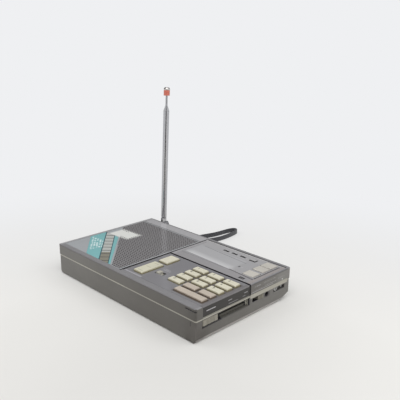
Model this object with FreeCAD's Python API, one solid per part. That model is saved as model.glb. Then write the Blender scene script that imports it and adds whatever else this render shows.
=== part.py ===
import FreeCAD, Part
import math
import os

from FreeCAD import Rotation, Vector

# A compact shortwave radio with a keypad, lying on its back with its face up.
# Case coordinates: x from the left end, y from the near long side, z up from the table, in millimetres.
# The row frame has its origin under the middle of the whole object, antenna foot included.

# Case
CASE_LENGTH = 186.0
CASE_DEPTH = 116.0
CASE_HEIGHT = 30.0
CORNER_RADIUS = 1.6
WALL = 2.4
TOP_WALL = 2.0
FOOT_STAND = 0.5

# Levels of the waist: rear shell below, pale band between, front shell above
BAND_BOTTOM = 18.7
BAND_TOP = 19.9
BAND_INSET = 0.35
TONGUE_INSET = 2.9
TONGUE_THICK = 1.0

# Side profiles as inset and level: walls with a slight draft, and a chamfer under each side but the near one
NEAR_PROFILE = ((1.1, FOOT_STAND - 2), (1.1, FOOT_STAND), (0.5, 1.3), (0.3, 20.0))
END_PROFILE = ((2.9, FOOT_STAND - 2), (2.9, FOOT_STAND), (0.7, 4.0), (0.3, 20.0))
FAR_PROFILE = ((17.6, FOOT_STAND - 2), (17.6, FOOT_STAND), (0.6, 6.8), (0.3, 20.0))
TOP_BEVEL = ((0.0, 29.3), (1.1, 30.0), (4.2, 32.0))

# Face plates, seated in pockets of the front shell
PLATE_TOP = 29.9
PLATE_BOTTOM = 28.6
GROOVE_LEFT = 89.5
GRILLE_TOP = 29.8
GRILLE_THICK = 1.0
GRILLE_BOX = (4.0, 5.0, 88.6, 102.2)
PERFORATED_BOX = (6.4, 7.6, 87.6, 101.2)
HOLE_PITCH = 9.3
HOLE_RADIUS = 2.6
LABEL_LINE = (80.1, 75.1)
LABEL_FAR = 52.4
LABEL_THICK = 0.12
LEGEND_BOX = (4.0, 103.2, 88.4, 113.4)
KEYPAD_BOX = (90.6, 6.8, 185.7, 61.4)
BEZEL_BOX = (90.1, 62.6, 184.4, 111.0)
WINDOW_BOX = (93.5, 72.6, 181.4, 109.2)
WINDOW_THICK = 0.6

# Keys
KEY_COLUMNS = (139.5, 156.9, 174.3)
KEY_ROW_FIRST = 51.6
KEY_ROW_STEP = 9.4
KEY_SIZE = (14.0, 6.7)
KEY_TOP = 31.6
KEY_SHOULDER = 30.9
KEY_BEVEL = 0.4
KEY_CORNER = 0.5
KEY_GAP = 0.35
KEY_FLANGE = 0.7
KEY_FLANGE_BOTTOM = 27.3
KEY_FLANGE_TOP = 28.4
SIDE_KEY_X = 104.2
SIDE_KEY_WIDTH = 11.2
ROCKER_Y = (11.6, 36.2)
ROCKER_PIVOT_Z = 27.7
SCAN_Y = (39.9, 55.5)
MODE_KEY_X = 172.2
MODE_KEY_SIZE = (12.4, 9.6)
MODE_KEY_YS = (103.3, 92.4, 79.2)
MODE_KEY_TOP = 30.5
SET_BUTTON = (154.7, 103.0)
SET_BUTTON_SIZE = (6.6, 4.2)
LIGHT_BUTTON = (171.6, 67.2)
LIGHT_BUTTON_SIZE = (5.2, 1.8)

# Small slide switches on the face
TIMER_SLIDE_XS = (122.3, 132.6, 142.6)
TIMER_SLIDE_Y = 103.0
TIMER_SLOT_SIZE = (6.6, 2.4)
TIMER_KNOB_SIZE = (3.0, 1.9)
LOCK_SLOT = (119.2, 24.8)
LOCK_SLOT_SIZE = (7.6, 5.2)
LOCK_KNOB_SIZE = (3.6, 4.6)
SLIDE_TOP = 30.9

# Right end
END_PANEL_Y = (7.2, 61.0)
END_PANEL_Z = (20.2, 28.6)
END_PANEL_THICK = 0.7
VOLUME_SLOT_Y = (7.3, 61.0)
VOLUME_SLOT_Z = (12.0, 18.3)
VOLUME_KNOB_LENGTH = 16.4
TONE_SLOT_Y = (65.4, 79.6)
TONE_SLOT_Z = (12.8, 16.6)
TONE_KNOB_LENGTH = 6.4
WIDE_BAND_Y = (62.6, 107.5)
WIDE_BAND_BOTTOM = 17.0
JACK_Z = 14.4
EARPHONE_Y = 84.2
EARPHONE_RADIUS = 2.3
EARPHONE_LENGTH = 17.8
JACK_BORE_RADIUS = 1.8
POWER_RECESS_Y = (93.4, 108.8)
POWER_RECESS_Z = (12.6, 16.4)
POWER_JACK_Y = 97.6

# Inside
BOARD_BOX = (92.6, 4.8, 182.6, 111.2)
BOARD_Z = (23.4, 25.0)
LCD_BOX = (95.6, 73.8, 154.2, 97.4)
LCD_GLASS_BOX = (98.0, 75.6, 152.2, 94.8)
SPEAKER_CENTRE = (47.0, 56.0)
SPEAKER_RADIUS = 38.5
SPEAKER_SIDES = 20
CELL_RADIUS = 7.1
CELL_LENGTH = 50.0
CELL_COUNT = 4
CELL_PITCH = 14.5
CELL_Y = 36.5
CELL_X = 106.0
BAY_ROOF = 17.4
DOOR_BOX = (104.0, 33.6, 166.0, 104.0)
DOOR_Z = (0.5, 2.1)
DOOR_GAP = 0.2
TOWER_TOP = 17.15
SCREW_PLACES = ((8.5, 8.5), (8.5, 98.0), (97.6, 104.4), (172.0, 6.6))
FOOT_PLACES = ((22.0, 14.0), (172.0, 20.0), (22.0, 90.0), (176.0, 90.0))

# Antenna: a swivel foot on the far side, a knuckle, and nested tubes that stand nearly upright
ANTENNA_X = 14.0
ANTENNA_Y = 120.8
ANTENNA_Z = 24.5
ANTENNA_LEAN = 2.3
BUSH_RADIUS = 3.0
BUSH_BORE = 2.0
FLANGE_RADIUS = 4.4
FLANGE_Y = (115.5, 117.0)
FOOT_RADIUS = 4.2
KNUCKLE_REACH = 4.2
TANG_THICK = 2.8
TUBE_START = 9.5
TUBE_END = 123.5
TUBE_RADIUS = 3.0
TUBE_WALL = 0.30
TUBE_FIT = 0.07
TUBE_STEP = 1.2
INNER_TUBES = 4
ROD_END = 140.2
TIP_LENGTH = 8.0
TIP_RADIUS = 3.1
PIN_RADIUS = 1.0
PIN_FIT = 0.05

# Strap: a narrow ribbon looped round a bar in the far side, standing on edge on the table
STRAP_WIDTH = 5.0
STRAP_THICK = 1.4
STRAP_BAR = (31.0, 112.6)
STRAP_BAR_RADIUS = 1.6
STRAP_RECESS = (25.6, 109.0, 36.4)
STRAP_RECESS_Z = (8.0, 15.6)
STRAP_ROUTE = (
    (32.8, 110.2, 11.8),
    (28.6, 110.2, 11.8),
    (28.4, 116.0, 11.8),
    (27.2, 122.6, 11.2),
    (25.6, 132.0, 8.6),
    (24.6, 145.0, 4.8),
    (25.6, 158.0, 2.8),
    (28.6, 170.0, 2.6),
    (31.6, 180.0, 2.6),
    (33.2, 190.0, 2.6),
    (33.9, 202.0, 2.6),
    (35.6, 209.2, 2.6),
    (38.8, 212.0, 2.6),
    (42.2, 210.2, 2.6),
    (44.0, 204.6, 2.6),
    (45.2, 196.0, 2.6),
    (45.9, 185.6, 2.6),
    (45.4, 175.0, 2.6),
    (42.6, 165.8, 2.6),
    (39.6, 155.6, 3.0),
    (37.0, 144.0, 5.0),
    (35.2, 132.0, 8.6),
    (34.2, 122.6, 11.2),
    (33.7, 116.0, 11.8),
    (33.4, 111.9, 11.8),
)

ANTENNA_REACH = ANTENNA_Y + KNUCKLE_REACH - CASE_DEPTH
MIDDLE = Vector(CASE_LENGTH / 2, (CASE_DEPTH + ANTENNA_REACH) / 2, 0)


# Shapes in case coordinates

def block(x0, y0, z0, x1, y1, z1):
    """A plain box between two corners."""
    return Part.makeBox(x1 - x0, y1 - y0, z1 - z0, Vector(x0, y0, z0))


def rounded_block(box, z0, z1, radius):
    """A block with round upright corners."""
    x0, y0, x1, y1 = box
    k = radius * (1 - math.sqrt(0.5))
    p = [Vector(x0 + radius, y0, z0), Vector(x1 - radius, y0, z0), Vector(x1, y0 + radius, z0),
         Vector(x1, y1 - radius, z0), Vector(x1 - radius, y1, z0), Vector(x0 + radius, y1, z0),
         Vector(x0, y1 - radius, z0), Vector(x0, y0 + radius, z0)]
    bends = [Vector(x1 - k, y0 + k, z0), Vector(x1 - k, y1 - k, z0),
             Vector(x0 + k, y1 - k, z0), Vector(x0 + k, y0 + k, z0)]
    edges = []
    for i in range(4):
        start, end = p[2 * i], p[2 * i + 1]
        edges.append(Part.LineSegment(start, end).toShape())
        edges.append(Part.Arc(end, bends[i], p[(2 * i + 2) % 8]).toShape())
    return Part.Face(Part.Wire(edges)).extrude(Vector(0, 0, z1 - z0))


def cut_corners(box, corner, z):
    """The outline of a rectangle with its corners cut off, at one level."""
    x0, y0, x1, y1 = box
    c = corner
    points = [(x0 + c, y0), (x1 - c, y0), (x1, y0 + c), (x1, y1 - c), (x1 - c, y1), (x0 + c, y1),
              (x0, y1 - c), (x0, y0 + c)]
    return [Vector(x, y, z) for x, y in points]


def many_sided(x, y, radius, z, sides):
    """A regular outline with flat sides, at one level."""
    turns = [2 * math.pi * (i + 0.5) / sides for i in range(sides)]
    return [Vector(x + radius * math.cos(t), y + radius * math.sin(t), z) for t in turns]


def flat_face(corners):
    """A flat face between corners."""
    return Part.Face(Part.makePolygon(corners + corners[:1]))


def between(low, high):
    """A solid with flat sides from one outline to another above it, with as many corners."""
    count = len(low)
    sides = [flat_face([low[i], low[(i + 1) % count], high[(i + 1) % count], high[i]]) for i in range(count)]
    return Part.Solid(Part.Shell([flat_face(low[::-1]), flat_face(high)] + sides))


def post(x, y, radius, z0, z1, sides=8):
    """An upright post or hole with flat sides."""
    return flat_face(many_sided(x, y, radius, z0, sides)).extrude(Vector(0, 0, z1 - z0))


def flared_post(x, y, low_radius, z0, high_radius, z1, sides):
    """A post that widens or narrows from one level to another."""
    return between(many_sided(x, y, low_radius, z0, sides), many_sided(x, y, high_radius, z1, sides))


def grown(box, amount):
    """A box outline made larger all round, or smaller by a negative amount."""
    x0, y0, x1, y1 = box
    return (x0 - amount, y0 - amount, x1 + amount, y1 + amount)


def around(centre, size):
    """The outline of a given size about a centre."""
    return (centre[0] - size[0] / 2, centre[1] - size[1] / 2,
            centre[0] + size[0] / 2, centre[1] + size[1] / 2)


def upright(box, z0, z1):
    """A box over an outline, between two levels."""
    return block(box[0], box[1], z0, box[2], box[3], z1)


def rod(start, direction, radius, length):
    """A round bar."""
    return Part.makeCylinder(radius, length, Vector(*start), Vector(*direction))


def joined(shapes):
    """One solid from pieces that overlap."""
    shapes = list(shapes)
    return shapes[0].multiFuse(shapes[1:]).removeSplitter()


def cut(shape, tools):
    """A shape less several others."""
    return shape.cut(Part.makeCompound(list(tools)))


def prism_along_x(points, x0, x1):
    """A prism along x from an outline in y and z."""
    return flat_face([Vector(x0, y, z) for y, z in points]).extrude(Vector(x1 - x0, 0, 0))


def prism_along_y(points, y0, y1):
    """A prism along y from an outline in x and z."""
    return flat_face([Vector(x, y0, z) for x, z in points]).extrude(Vector(0, y1 - y0, 0))


def case_outline(inset):
    """The plan of the case, moved inwards by the inset."""
    return (inset, inset, CASE_LENGTH - inset, CASE_DEPTH - inset)


# Case shells

def far_space(profile):
    """The space outside the far side's profile."""
    outside = [(-6, profile[0][1])] + list(profile) + [(-6, profile[-1][1])]
    return prism_along_x([(CASE_DEPTH - inset, z) for inset, z in outside], -1, CASE_LENGTH + 1)


def side_spaces(near, far, ends):
    """The space outside the near side, the far side and both ends, each from its profile."""
    outside = [(-6, near[0][1])] + list(near) + [(-6, near[-1][1])]
    spaces = [prism_along_x(outside, -1, CASE_LENGTH + 1), far_space(far)]
    outside = [(-6, ends[0][1])] + list(ends) + [(-6, ends[-1][1])]
    spaces.append(prism_along_y(outside, -1, CASE_DEPTH + 1))
    spaces.append(prism_along_y([(CASE_LENGTH - inset, z) for inset, z in outside], -1, CASE_DEPTH + 1))
    return spaces


def inner_face(profile):
    """The inner face of a wall, from its outer profile."""
    return [(inset + WALL, z + WALL * 0.8) for inset, z in profile]


def battery_bay():
    """The outline of the battery bay's inside."""
    return (CELL_X, CELL_Y - 1.5, CELL_X + CELL_COUNT * CELL_PITCH, CELL_Y + CELL_LENGTH + 1.5)


def door_profile(clearance, y0, y1):
    """The dovetailed door, wider above so that it can't fall out, as it slides to the far side."""
    x0, _, x1, _ = DOOR_BOX
    low, high = DOOR_Z
    lean = 0.8
    points = [(x0 + lean - clearance, low - clearance), (x1 - lean + clearance, low - clearance),
              (x1 + clearance, high + clearance), (x0 - clearance, high + clearance)]
    return prism_along_y(points, y0, y1)


def rear_shell():
    """The lower tray with its chamfers, battery bay, screw towers and the openings of the right end."""
    floor = FOOT_STAND
    outer = cut(rounded_block(case_outline(0.3), floor, BAND_BOTTOM, CORNER_RADIUS),
                side_spaces(NEAR_PROFILE, FAR_PROFILE, END_PROFILE))
    inner = cut(upright(case_outline(0), floor + WALL, BAND_BOTTOM + 1),
                side_spaces(inner_face(NEAR_PROFILE), inner_face(FAR_PROFILE), inner_face(END_PROFILE)))
    bay = battery_bay()
    towers = [post(x, y, 3.9, floor + 0.5, TOWER_TOP) for x, y in SCREW_PLACES]
    bay_walls = upright(grown(bay, 1.2), floor + 0.5, BAY_ROOF + 1.2)
    x0, y0, x1 = STRAP_RECESS
    strap_box = block(x0 - 1.2, y0 - 1.2, STRAP_RECESS_Z[0] - 1.1, x1 + 1.2, CASE_DEPTH - 2.2,
                      STRAP_RECESS_Z[1] + 1.2)
    shell = joined([outer.cut(inner), bay_walls, strap_box] + towers)
    tools = [upright(bay, floor - 1, BAY_ROOF),
             door_profile(DOOR_GAP, DOOR_BOX[1] - DOOR_GAP, CASE_DEPTH),
             strap_recess()]
    for x, y in SCREW_PLACES:
        tools.append(post(x, y, 3.1, floor - 1, floor + 10.5))
        tools.append(post(x, y, 1.7, floor, floor + 20))
    return cut(shell, tools + right_end_openings())


def strap_recess():
    """The pocket of the far side that leaves one upright bar standing for the strap."""
    x0, y0, x1 = STRAP_RECESS
    low, high = STRAP_RECESS_Z
    bar = rod((STRAP_BAR[0], STRAP_BAR[1], low - 1), (0, 0, 1), STRAP_BAR_RADIUS, high - low + 2)
    return block(x0, y0, low, x1, CASE_DEPTH + 1, high).cut(bar)


def right_end_openings():
    """The slots and jack holes of the rear shell's right end."""
    x0 = CASE_LENGTH - 7
    x1 = CASE_LENGTH + 1
    tools = []
    for (y0, y1), (z0, z1) in ((VOLUME_SLOT_Y, VOLUME_SLOT_Z), (TONE_SLOT_Y, TONE_SLOT_Z),
                               (POWER_RECESS_Y, POWER_RECESS_Z)):
        tools.append(block(x0, y0, z0, x1, y1, z1))
    tools.append(rod((x0, EARPHONE_Y, JACK_Z), (1, 0, 0), EARPHONE_RADIUS, 8))
    tools.append(block(x0, WIDE_BAND_Y[0] - 0.05, WIDE_BAND_BOTTOM - 0.05, x1, WIDE_BAND_Y[1] + 0.05,
                       BAND_BOTTOM + 1))
    return tools


def waist_band():
    """The pale ring between the shells, wide over the jacks of the right end."""
    ring = rounded_block(case_outline(BAND_INSET), BAND_BOTTOM, BAND_TOP, CORNER_RADIUS)
    tongue = upright(case_outline(TONGUE_INSET), BAND_BOTTOM - 1.4, BAND_TOP + 1.4)
    hollow = upright(case_outline(TONGUE_INSET + TONGUE_THICK), BAND_BOTTOM - 2, BAND_TOP + 2)
    wide = block(CASE_LENGTH - 3.9, WIDE_BAND_Y[0], WIDE_BAND_BOTTOM, CASE_LENGTH - 0.2, WIDE_BAND_Y[1],
                 BAND_TOP)
    band = joined([ring, tongue, wide]).cut(hollow)
    passages = [post(x, y, 4.1, BAND_BOTTOM - 3, BAND_TOP + 3) for x, y in SCREW_PLACES]
    passages.append(block(CASE_LENGTH - 8, VOLUME_SLOT_Y[0] - 1.4, BAND_BOTTOM - 2, CASE_LENGTH - 2.8,
                          VOLUME_SLOT_Y[1] + 1.4, BAND_BOTTOM))
    passages.append(antenna_passage(BUSH_RADIUS + 0.6))
    return cut(band, passages)


def antenna_passage(radius):
    """The way through the far wall for the antenna's bush."""
    return rod((ANTENNA_X, CASE_DEPTH - 8, ANTENNA_Z), (0, 1, 0), radius, 10)


def front_shell():
    """The upper shell with pockets for its face plates, screw bosses and the groove between the modules."""
    outer = cut(rounded_block(case_outline(0), BAND_TOP, CASE_HEIGHT, CORNER_RADIUS),
                side_spaces(TOP_BEVEL, TOP_BEVEL, TOP_BEVEL))
    shell = outer.cut(upright(case_outline(WALL), BAND_TOP - 1, CASE_HEIGHT - TOP_WALL))
    bosses = [post(x, y, 3.3, 17.2, CASE_HEIGHT - TOP_WALL + 0.5) for x, y in SCREW_PLACES]
    shell = joined([shell] + bosses)
    tools = [post(x, y, 1.35, 17, 26, 6) for x, y in SCREW_PLACES]
    tools += face_pockets() + key_wells() + end_cuts()
    tools.append(antenna_passage(BUSH_RADIUS + 0.03))
    tools.append(rod((ANTENNA_X, FLANGE_Y[0], ANTENNA_Z), (0, 1, 0), FLANGE_RADIUS + 0.05, 2))
    return cut(shell, tools)


def face_pockets():
    """The pockets of the front shell's face, with a groove left round the two modules on the right."""
    top = CASE_HEIGHT + 1
    x, y = SPEAKER_CENTRE
    keypad = (GROOVE_LEFT, KEYPAD_BOX[1] - 0.35, CASE_LENGTH + 1, BEZEL_BOX[1])
    display = (GROOVE_LEFT, BEZEL_BOX[1] - 0.1, BEZEL_BOX[2] + 0.35, BEZEL_BOX[3] + 0.6)
    return [upright(grown(GRILLE_BOX, 0.1), GRILLE_TOP - GRILLE_THICK, top),
            upright(grown(LEGEND_BOX, 0.1), PLATE_TOP - 0.6, top),
            post(x, y, SPEAKER_RADIUS - 3.5, 20, 32, SPEAKER_SIDES),
            upright(keypad, PLATE_BOTTOM, top),
            upright(display, PLATE_BOTTOM, top)]


def key_wells():
    """The openings in the face under the keys, the display and the switches."""
    keys = [grown(around(centre, size), KEY_FLANGE + 0.5) for _, centre, size in keypad_keys()]
    keypad = (min(k[0] for k in keys), min(k[1] for k in keys),
              max(k[2] for k in keys), max(k[3] for k in keys))
    side = SIDE_KEY_WIDTH / 2 + 2.2
    timers = (TIMER_SLIDE_XS[0] - 5.0, TIMER_SLIDE_Y - 3.2, SET_BUTTON[0] + 4.9, TIMER_SLIDE_Y + 3.2)
    modes = (MODE_KEY_X - MODE_KEY_SIZE[0] / 2 - 1.2, MODE_KEY_YS[2] - MODE_KEY_SIZE[1] / 2 - 1.2,
             MODE_KEY_X + MODE_KEY_SIZE[0] / 2 + 1.2, MODE_KEY_YS[0] + MODE_KEY_SIZE[1] / 2 + 1.2)
    wells = [keypad, (SIDE_KEY_X - side, ROCKER_Y[0] - 1.2, SIDE_KEY_X + side, SCAN_Y[1] + 1.4),
             grown(LCD_BOX, 0.3), grown(around(LOCK_SLOT, LOCK_SLOT_SIZE), 1.2), timers, modes,
             grown(around(LIGHT_BUTTON, LIGHT_BUTTON_SIZE), 1.2)]
    return [upright(well, BAND_TOP, PLATE_BOTTOM + 0.1) for well in wells]


def end_cuts():
    """The shallow seat of the dark end panel, the groove beside it and a small finger slit."""
    seat = block(CASE_LENGTH - END_PANEL_THICK - 0.25, END_PANEL_Y[0], END_PANEL_Z[0], CASE_LENGTH + 1,
                 END_PANEL_Y[1], END_PANEL_Z[1] + 0.1)
    groove = block(CASE_LENGTH - 1.6, KEYPAD_BOX[3], BAND_TOP - 1, CASE_LENGTH + 1, BEZEL_BOX[1],
                   PLATE_BOTTOM + 0.1)
    slit = block(174.6, -1, 26.9, CASE_LENGTH + 1, 0.9, 27.7)
    return [seat, groove, slit]


def case_screws():
    """The four screws that hold the shells together."""
    screws = []
    for x, y in SCREW_PLACES:
        head = post(x, y, 2.8, 9.0, 11.0, 6)
        shank = post(x, y, 1.3, 10.9, 24.5, 6)
        screws.append(joined([head, shank]))
    return Part.makeCompound(screws)


def rubber_feet():
    """Four low feet under the flat of the case."""
    return Part.makeCompound([flared_post(x, y, 3.6, 0, 4.0, FOOT_STAND, 8) for x, y in FOOT_PLACES])


def battery_door():
    """The door that slides out over the far chamfer, with a ribbed thumb pad."""
    x0, y0, x1, y1 = DOOR_BOX
    door = door_profile(0, y0, y1).cut(far_space(FAR_PROFILE))
    middle = (x0 + x1) / 2
    ribs = [block(middle - 9, y0 + 5 + 1.6 * i, 0, middle + 9, y0 + 5.7 + 1.6 * i, DOOR_Z[0] + 0.5)
            for i in range(6)]
    return cut(door, ribs)


# Face plates

def diamond_hole(x, y):
    """A four-cornered hole through the grille, on its point."""
    r = HOLE_RADIUS
    low = PLATE_TOP - 2
    corners = [Vector(x + r, y, low), Vector(x, y + r, low), Vector(x - r, y, low), Vector(x, y - r, low)]
    return flat_face(corners).extrude(Vector(0, 0, 3))


def perforation():
    """Diamond holes in straight rows, outside the corner that the label covers."""
    x0, y0, x1, y1 = grown(PERFORATED_BOX, -HOLE_RADIUS)
    holes = []
    for row in range(int((y1 - y0) / HOLE_PITCH) + 1):
        y = y1 - row * HOLE_PITCH
        for column in range(int((x1 - x0) / HOLE_PITCH) + 1):
            x = x1 - column * HOLE_PITCH
            if x / LABEL_LINE[0] + y / LABEL_LINE[1] > 1.06:
                holes.append(diamond_hole(x, y))
    return holes


def speaker_grille():
    """The perforated metal plate over the speaker."""
    return cut(upright(GRILLE_BOX, GRILLE_TOP - GRILLE_THICK, GRILLE_TOP), perforation())


def corner_label():
    """A thin foil label that lies slantwise over the grille's near left corner."""
    left, near = GRILLE_BOX[0] + 0.2, GRILLE_BOX[1] + 0.2
    across = [LABEL_LINE[0] * (1 - y / LABEL_LINE[1]) for y in (near, LABEL_FAR)]
    corners = [(left, 33.6), (left, LABEL_FAR), (across[1], LABEL_FAR), (across[0], near), (38.4, near)]
    return flat_face([Vector(x, y, GRILLE_TOP) for x, y in corners]).extrude(Vector(0, 0, LABEL_THICK))


def legend_strip():
    """The bare glossy strip between the grille and the far edge."""
    return upright(LEGEND_BOX, PLATE_TOP - 0.6, PLATE_TOP + 0.02)


def side_key_box(span):
    """The outline of a key beside the speaker, from its near and far ends."""
    return (SIDE_KEY_X - SIDE_KEY_WIDTH / 2, span[0], SIDE_KEY_X + SIDE_KEY_WIDTH / 2, span[1])


def keypad_panel():
    """The plate round the keys, with the slot of the lock switch and two ears for the rocker's pins."""
    plate = upright(KEYPAD_BOX, PLATE_BOTTOM, PLATE_TOP)
    middle = (ROCKER_Y[0] + ROCKER_Y[1]) / 2
    reach = SIDE_KEY_WIDTH / 2 + 0.5
    ears = [block(x, middle - 2.2, ROCKER_PIVOT_Z - 1.5, x + 1.2, middle + 2.2, PLATE_BOTTOM + 0.1)
            for x in (SIDE_KEY_X - reach - 1.2, SIDE_KEY_X + reach)]
    boxes = [around(centre, size) for _, centre, size in keypad_keys()]
    boxes += [side_key_box(ROCKER_Y), side_key_box(SCAN_Y)]
    holes = [upright(grown(box, KEY_GAP), PLATE_BOTTOM - 1, PLATE_TOP + 1) for box in boxes]
    holes.append(upright(around(LOCK_SLOT, LOCK_SLOT_SIZE), PLATE_BOTTOM - 1, PLATE_TOP + 1))
    holes.append(rod((SIDE_KEY_X - 10, middle, ROCKER_PIVOT_Z), (1, 0, 0), 0.8 + PIN_FIT, 20))
    return cut(joined([plate] + ears), holes)


def display_openings():
    """The openings for the flat keys, the set button and the timer switches."""
    boxes = [grown(around((MODE_KEY_X, y), MODE_KEY_SIZE), KEY_GAP) for y in MODE_KEY_YS]
    boxes += [around((x, TIMER_SLIDE_Y), TIMER_SLOT_SIZE) for x in TIMER_SLIDE_XS]
    boxes.append(grown(around(SET_BUTTON, SET_BUTTON_SIZE), 0.45))
    return [upright(box, PLATE_BOTTOM - 1, PLATE_TOP + 1) for box in boxes]


def display_bezel():
    """The plate of the display module, with the seat of its glossy window."""
    plate = upright(BEZEL_BOX, PLATE_BOTTOM, PLATE_TOP)
    seat = upright(grown(WINDOW_BOX, 0.12), PLATE_TOP - WINDOW_THICK, PLATE_TOP + 1)
    glass = upright(LCD_GLASS_BOX, PLATE_BOTTOM - 1, PLATE_TOP + 1)
    light = upright(grown(around(LIGHT_BUTTON, LIGHT_BUTTON_SIZE), 0.25), PLATE_BOTTOM - 1, PLATE_TOP + 1)
    return cut(plate, [seat, glass, light] + display_openings())


def display_window():
    """The glossy inset that covers the display and frames the flat keys."""
    return cut(upright(WINDOW_BOX, PLATE_TOP - WINDOW_THICK, PLATE_TOP), display_openings())


def end_panel():
    """The dark glossy plate on the right end, above the volume slide."""
    x0 = CASE_LENGTH - END_PANEL_THICK - 0.25
    return block(x0, END_PANEL_Y[0] + 0.15, END_PANEL_Z[0] + 0.1, x0 + END_PANEL_THICK, END_PANEL_Y[1] - 0.15,
                 END_PANEL_Z[1] - 0.05)


# Keys, buttons and switches

def keypad_keys():
    """Every keypad key as name, centre and size."""
    keys = []
    for digit in range(1, 10):
        row, column = divmod(digit - 1, 3)
        keys.append(("key_%d" % digit, (KEY_COLUMNS[column], KEY_ROW_FIRST - row * KEY_ROW_STEP), KEY_SIZE))
    low_row = KEY_ROW_FIRST - 3 * KEY_ROW_STEP
    for name, x in zip(("key_0", "left_function_key", "right_function_key"), KEY_COLUMNS):
        keys.append((name, (x, low_row), KEY_SIZE))
    wide = KEY_COLUMNS[2] - KEY_COLUMNS[1] + KEY_SIZE[0]
    centre = ((KEY_COLUMNS[1] + KEY_COLUMNS[2]) / 2, KEY_ROW_FIRST - 4 * KEY_ROW_STEP)
    keys.append(("wide_key", centre, (wide, KEY_SIZE[1])))
    return keys


def key_cap(box, shoulder, top, bevel):
    """A cap with upright sides and a bevelled, slightly smaller top."""
    rim = cut_corners(box, KEY_CORNER, shoulder)
    body = between(cut_corners(box, KEY_CORNER, KEY_FLANGE_BOTTOM), rim)
    return body.fuse(between(rim, cut_corners(grown(box, -bevel), KEY_CORNER, top)))


def push_key(centre, size):
    """A key with a flange that stops it under the panel."""
    box = around(centre, size)
    flange = upright(grown(box, KEY_FLANGE), KEY_FLANGE_BOTTOM, KEY_FLANGE_TOP)
    return joined([key_cap(box, KEY_SHOULDER, KEY_TOP, KEY_BEVEL), flange])


def rocker_key():
    """The long key, which tips about two short pins in the middle of its length."""
    box = side_key_box(ROCKER_Y)
    middle = (ROCKER_Y[0] + ROCKER_Y[1]) / 2
    pins = rod((box[0] - 1.1, middle, ROCKER_PIVOT_Z), (1, 0, 0), 0.8, SIDE_KEY_WIDTH + 2.2)
    return joined([key_cap(box, KEY_SHOULDER, KEY_TOP, KEY_BEVEL), pins])


def scan_key():
    """The shorter side key, pushed straight down."""
    return push_key((SIDE_KEY_X, (SCAN_Y[0] + SCAN_Y[1]) / 2), (SIDE_KEY_WIDTH, SCAN_Y[1] - SCAN_Y[0]))


def mode_key(y):
    """A flat key in the glossy inset."""
    box = around((MODE_KEY_X, y), MODE_KEY_SIZE)
    flange = upright(grown(box, 0.6), KEY_FLANGE_BOTTOM, KEY_FLANGE_TOP)
    return joined([key_cap(box, MODE_KEY_TOP - 0.3, MODE_KEY_TOP, 0.3), flange])


def small_button(centre, size, top):
    """A small push button with a flange under the plate."""
    box = around(centre, size)
    flange = upright(grown(box, KEY_FLANGE), KEY_FLANGE_BOTTOM, KEY_FLANGE_TOP)
    return joined([upright(box, KEY_FLANGE_BOTTOM, top), flange])


def face_slide(centre, knob, slot, top):
    """A slide switch knob with ribs on top and a carrier under the plate."""
    left = centre[0] - slot[0] / 2 + 0.2
    box = (left, centre[1] - knob[1] / 2, left + knob[0], centre[1] + knob[1] / 2)
    carrier = block(box[0] - 0.6, centre[1] - slot[1] / 2 - 0.7, KEY_FLANGE_BOTTOM, box[2] + 0.6,
                    centre[1] + slot[1] / 2 + 0.7, KEY_FLANGE_TOP)
    ribs = [block(box[0] + knob[0] * (i + 0.35) / 3, box[1] - 1, top - 0.3, box[0] + knob[0] * (i + 0.65) / 3,
                  box[3] + 1, top + 1) for i in range(3)]
    return cut(joined([upright(box, KEY_FLANGE_BOTTOM, top), carrier]), ribs)


def volume_track():
    """The dark ribbed channel that closes the volume slot from behind."""
    near, far = VOLUME_SLOT_Y
    low, high = VOLUME_SLOT_Z
    x0 = CASE_LENGTH - 6.0
    x1 = CASE_LENGTH - 3.0
    plate = block(x0, near - 1.2, low - 0.8, x1, far + 1.2, BAND_BOTTOM - 0.05)
    ribs = [block(x1 - 0.1, y, low + 0.05, x1 + 0.6, y + 0.7, low + 1.0)
            for y in [near + 21 + 3.2 * i for i in range(9)]]
    middle = (low + high) / 2
    groove = block(x0 + 0.8, near + 1.5, middle - 0.8, x1 + 1, far - 1.5, middle + 0.8)
    return cut(joined([plate] + ribs), [groove])


def volume_knob():
    """The pale knob of the volume slide, at the low end of its slot."""
    near = VOLUME_SLOT_Y[0] + 0.3
    low, high = VOLUME_SLOT_Z
    middle = (low + high) / 2
    x0 = CASE_LENGTH - 2.3
    x1 = CASE_LENGTH
    knob = block(x0, near, low + 0.25, x1 - 0.4, near + VOLUME_KNOB_LENGTH, high - 0.25)
    face = block(x1 - 0.5, near + 0.4, low + 0.55, x1, near + VOLUME_KNOB_LENGTH - 0.4, high - 0.55)
    stem = block(x0 - 2.4, near + 5, middle - 0.6, x0 + 0.1, near + 10, middle + 0.6)
    grips = [block(x1 - 0.3, near + 4 + 1.6 * i, low, x1 + 1, near + 4.7 + 1.6 * i, high) for i in range(6)]
    return cut(joined([knob, face, stem]), grips)


def tone_knob():
    """The small pale slide beside the volume slot, held by a plate behind the wall."""
    far = TONE_SLOT_Y[1] - 0.3
    near = far - TONE_KNOB_LENGTH
    low, high = TONE_SLOT_Z
    x1 = CASE_LENGTH - 0.1
    knob = block(x1 - 3.4, near, low + 0.25, x1, far, high - 0.25)
    carrier = block(x1 - 5.0, near - 1.0, low - 1, x1 - 3.2, far + 1.0, high + 0.3)
    ribs = [block(x1 - 0.35, near + 1.2 + 1.4 * i, low, x1 + 1, near + 1.8 + 1.4 * i, high) for i in range(3)]
    return cut(joined([knob, carrier]), ribs)


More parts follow.
